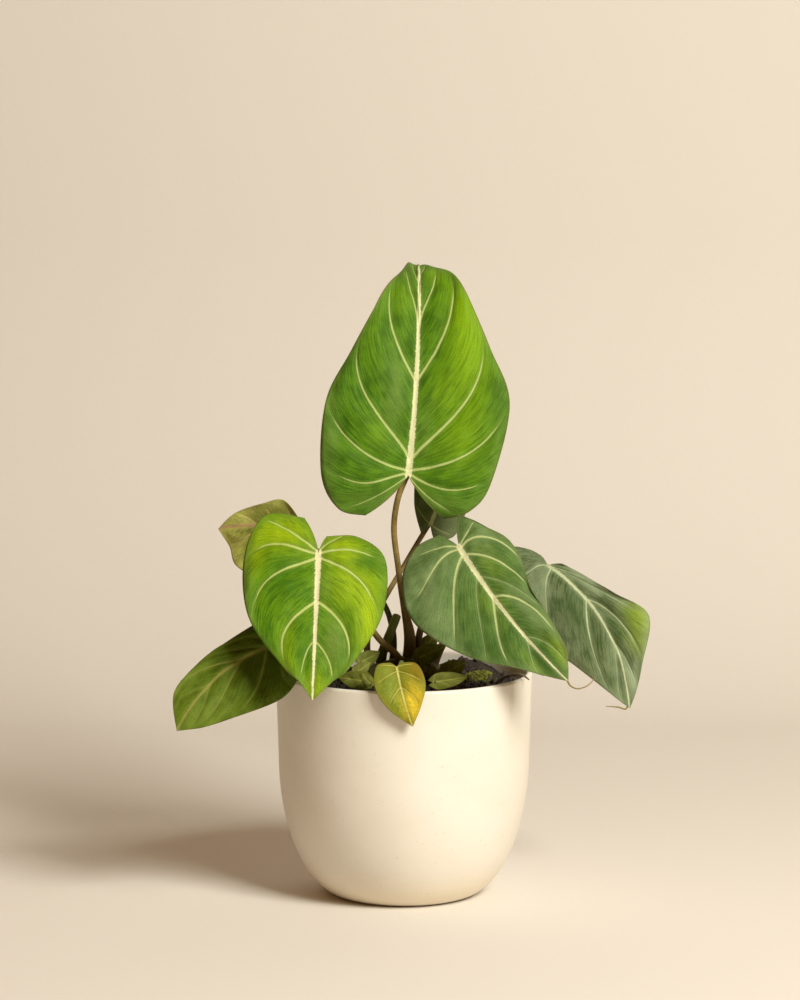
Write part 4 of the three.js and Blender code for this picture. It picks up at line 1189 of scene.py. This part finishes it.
def make_sweep():
    """A pale sheet that lies under the pot and curves up behind it. It is clear from its back, so
    that the plant shows from there too."""
    turn = np.linspace(0, np.pi / 2, 40)[1:]
    wall = SWEEP["floor_end"] + SWEEP["bend"]
    curve = np.stack([SWEEP["floor_end"] + SWEEP["bend"] * np.sin(turn),
                      SWEEP["bend"] * (1 - np.cos(turn))], -1)
    profile = np.concatenate([[[SWEEP["front"], 0], [SWEEP["floor_end"], 0]], curve,
                              [[wall, SWEEP["top"]]]])
    across = np.linspace(-SWEEP["half_width"], SWEEP["half_width"], 5)
    y, z = profile[:, :1] + 0 * across, profile[:, 1:] + 0 * across
    points = np.stack([across + 0 * y, y, z], -1)
    faces = grid_cells(*y.shape)[:, ::-1]
    mesh = bpy.data.meshes.new("sweep")
    mesh.from_pydata((points.reshape(-1, 3) * MM).tolist(), [], faces.tolist())
    mesh.shade_smooth()
    material, tree, shader = new_material("sweep_paper")
    where = own_place(tree)
    grain = speckle(tree, where, 300)
    # The floor part is a little lighter than the wall: painted light, for the stronger light that
    # falls on the floor of the one paper sheet.
    wall = blend_colour(tree, grain, (0.69, 0.655, 0.60), (0.71, 0.675, 0.62))
    floor = blend_colour(tree, grain, (0.73, 0.69, 0.63), (0.75, 0.71, 0.65))
    depth = node(tree, "ShaderNodeSeparateXYZ", {0: where}).outputs["Y"]
    colour = blend_colour(tree, rise_between(tree, depth, -0.1, 0.7), floor, wall)
    feed(tree, shader.inputs["Base Color"], colour)
    shader.inputs["Roughness"].default_value = 0.85
    clear_from_behind(tree, shader)
    mesh.materials.append(material)
    sweep = bpy.data.objects.new("sweep", mesh)
    bpy.context.scene.collection.objects.link(sweep)


def add_key_light():
    """A square soft light that shines at the plant from the viewer's right."""
    turn, rise = np.radians([KEY["azimuth"], KEY["elevation"]])
    away = np.array([np.sin(turn) * np.cos(rise), -np.cos(turn) * np.cos(rise), np.sin(rise)])
    data = bpy.data.lights.new("key", "AREA")
    data.shape = "SQUARE"
    data.size = KEY["size"] * MM
    data.energy = KEY["power"]
    data.color = KEY["colour"]
    light = bpy.data.objects.new("key", data)
    light.location = (np.array(KEY["aim"]) + KEY["distance"] * away) * MM
    light.rotation_euler = (np.pi / 2 - rise, 0, turn)
    bpy.context.scene.collection.objects.link(light)


def make_studio():
    """One soft key light from the right and weak warm light from all round. Past the sheet the
    camera sees plain pale surroundings."""
    make_sweep()
    add_key_light()
    world = bpy.data.worlds.new("studio")
    world.use_nodes = True
    tree = world.node_tree
    around = tree.nodes["Background"]
    around.inputs["Color"].default_value = (*WORLD_COLOUR, 1)
    around.inputs["Strength"].default_value = WORLD_STRENGTH
    seen = node(tree, "ShaderNodeBackground", {"Color": SURROUNDINGS})
    to_camera = node(tree, "ShaderNodeLightPath").outputs["Is Camera Ray"]
    sky = node(tree, "ShaderNodeMixShader", {0: to_camera, 1: around.outputs[0],
                                             2: seen.outputs[0]})
    feed(tree, tree.nodes["World Output"].inputs["Surface"], sky.outputs[0])
    bpy.context.scene.world = world
    bpy.context.scene.view_settings.view_transform = "Standard"
    bpy.context.scene.view_settings.look = "None"


# Putting the plant together


def petiole_route(name):
    """The petiole's points, with a last stretch that meets the blade squarely at its junction."""
    leaf, route = LEAVES[name], PETIOLES[name]
    tipward, leftward = blade_directions(leaf)
    normal = OUTWARD - leaf["lean"] * tipward - leaf["tilt"] * leftward
    normal /= np.linalg.norm(normal)
    flat = np.array([[[JUNCTION_SEAT, float(midrib_sway(leaf, np.array(JUNCTION_SEAT)))]]])
    seat = into_place(leaf, blade_relief(leaf, 1, flat, np.zeros(1), np.zeros(1)))[0, 0]
    away = 1 if name == "upper_left" else -1
    return route + [[*(seat + away * distance * normal), route[-1][3]]
                    for distance in (JUNCTION_BEND, JUNCTION_BEND / 2, JUNCTION_END)]


def petiole_shape(angle, share, radius):
    """Nearly round, with a shallow channel along one side and faint ridges."""
    channel = 0.10 * np.exp(-((angle - np.pi) / 0.5) ** 2)
    return radius * (1 - channel + 0.02 * np.sin(9 * angle) + 0.02 * np.sin(40 * share + angle))


def rhizome_shape(angle, share, radius):
    """Knobbly, with rings where old leaves fell."""
    rings = 0.05 * np.sin(70 * share) ** 8
    knobs = 0.07 * np.sin(3 * angle + 14 * share) + 0.05 * np.sin(5 * angle - 31 * share)
    return radius * (1 + rings + knobs - 0.03)


def small_ribs(size):
    """Where the ribs of a small heart-shaped leaf start and end, for its length and half width."""
    length, width = size
    shape = [[0, -0.15, 0.3], [0, 0.12, 0.95], [0.25, 0.55, 0.85], [0.6, 0.85, 0.4], [1, 1, 0]]
    return [[a * length, x * length, y * width, x * length, -y * width] for a, x, y in shape]


def leaflet_route(leaf):
    """The small stalk from the potting mix to just past the back of the junction."""
    at, foot = np.array(leaf["at"], float), np.array(leaf["foot"], float)
    turn = np.radians(leaf["aim"])
    form = LEAFLET_STALK
    middle = (at + foot) / 2 + [0, form["bow"], 0]
    top = at + [form["past"] * np.cos(turn), form["sink"], form["past"] * np.sin(turn)]
    return [[*point, radius] for point, radius in zip((foot, middle, top), form["radii"])]


# Colours of the stalks: low and high tones, the darker base, and flecks.
STALK_COLOURS = {
    "petiole": [(0.15, 0.10, 0.025), (0.27, 0.19, 0.055), (0.10, 0.065, 0.025), (0.06, 0.05, 0.02)],
    "green_stalk": [(0.07, 0.09, 0.02), (0.16, 0.19, 0.045), (0.06, 0.06, 0.015),
                    (0.04, 0.05, 0.015)],
    "cut_stalk": [(0.10, 0.13, 0.018), (0.24, 0.27, 0.05), (0.07, 0.075, 0.012),
                  (0.05, 0.06, 0.012)],
    "rhizome_skin": [(0.05, 0.055, 0.015), (0.13, 0.13, 0.035), (0.05, 0.05, 0.015),
                     (0.03, 0.025, 0.01)],
    "withered_tip": [(0.16, 0.10, 0.04), (0.34, 0.24, 0.10), (0.22, 0.18, 0.05),
                     (0.10, 0.06, 0.025)],
    "dry_root": [(0.14, 0.11, 0.075), (0.27, 0.22, 0.15), (0.12, 0.09, 0.06), (0.10, 0.08, 0.05)],
}
SKINS = {name: stalk_material(name, *colours) for name, colours in STALK_COLOURS.items()}
def make_leaves():
    """The large leaves with their petioles."""
    for name, leaf in LEAVES.items():
        look, blade = LEAF_LOOKS[name], f"blade_{name}"
        skin = leaf_material(f"{name}_leaf", look, rim=0.8 if name == "tall" else 0.35)
        make_blade(f"{name}_leaf", leaf, look, skin, [blade])
        skin = SKINS["green_stalk" if name in GREEN_PETIOLES else "petiole"]
        make_stalk(f"{name}_petiole", petiole_route(name), skin, [f"petiole_{name}"],
                   70, 28, petiole_shape)


def make_tip_curls():
    """The withered tips of two blades."""
    for name, route in TIP_CURLS.items():
        make_stalk(f"{name}_tip_curl", route, SKINS["withered_tip"], [], 40, 12)


LEAFLET_LOOK = dict(
    deep=(0.055, 0.075, 0.006), mid=(0.12, 0.145, 0.012), lime=(0.20, 0.22, 0.02),
    grey=(0.15, 0.16, 0.03), vein=(0.22, 0.24, 0.04), core=(0.26, 0.27, 0.05),
    patches=[[GREY, 10, 3, 8, 4, 0.4]])


def make_leaflets():
    """The small leaves of the side shoots, each with its stalk."""
    skin = leaf_material("leaflet", LEAFLET_LOOK, 0.3)
    for name, small in SMALL_LEAVES.items():
        leaf = {**LEAFLET_FORM, **small, "ribs": small_ribs(small["size"]),
                "roll": [small["size"][0], LEAFLET_ROLL]}
        nodes = [f"leaflet_{name}"]
        make_blade(f"{name}_leaflet", leaf, LEAFLET_LOOK, skin, nodes, 8, 12, 0.5)
        make_stalk(f"{name}_stalk", leaflet_route(small), SKINS["green_stalk"], nodes,
                   24, 14)


make_studio()
make_pot()
make_mix()
make_bark()
make_moss()
make_leaves()
make_tip_curls()
make_leaflets()
make_stalk("rhizome_stem", RHIZOME, SKINS["rhizome_skin"], ["rhizome"], 150, 48,
           rhizome_shape)
make_stalk("cut_stub", STUB_FRONT, SKINS["cut_stalk"], ["stub_front"], 50, 24,
           petiole_shape)
make_stalk("dried_root", DRY_ROOT, SKINS["dry_root"], ["dry_root"], 60, 14,
           petiole_shape)
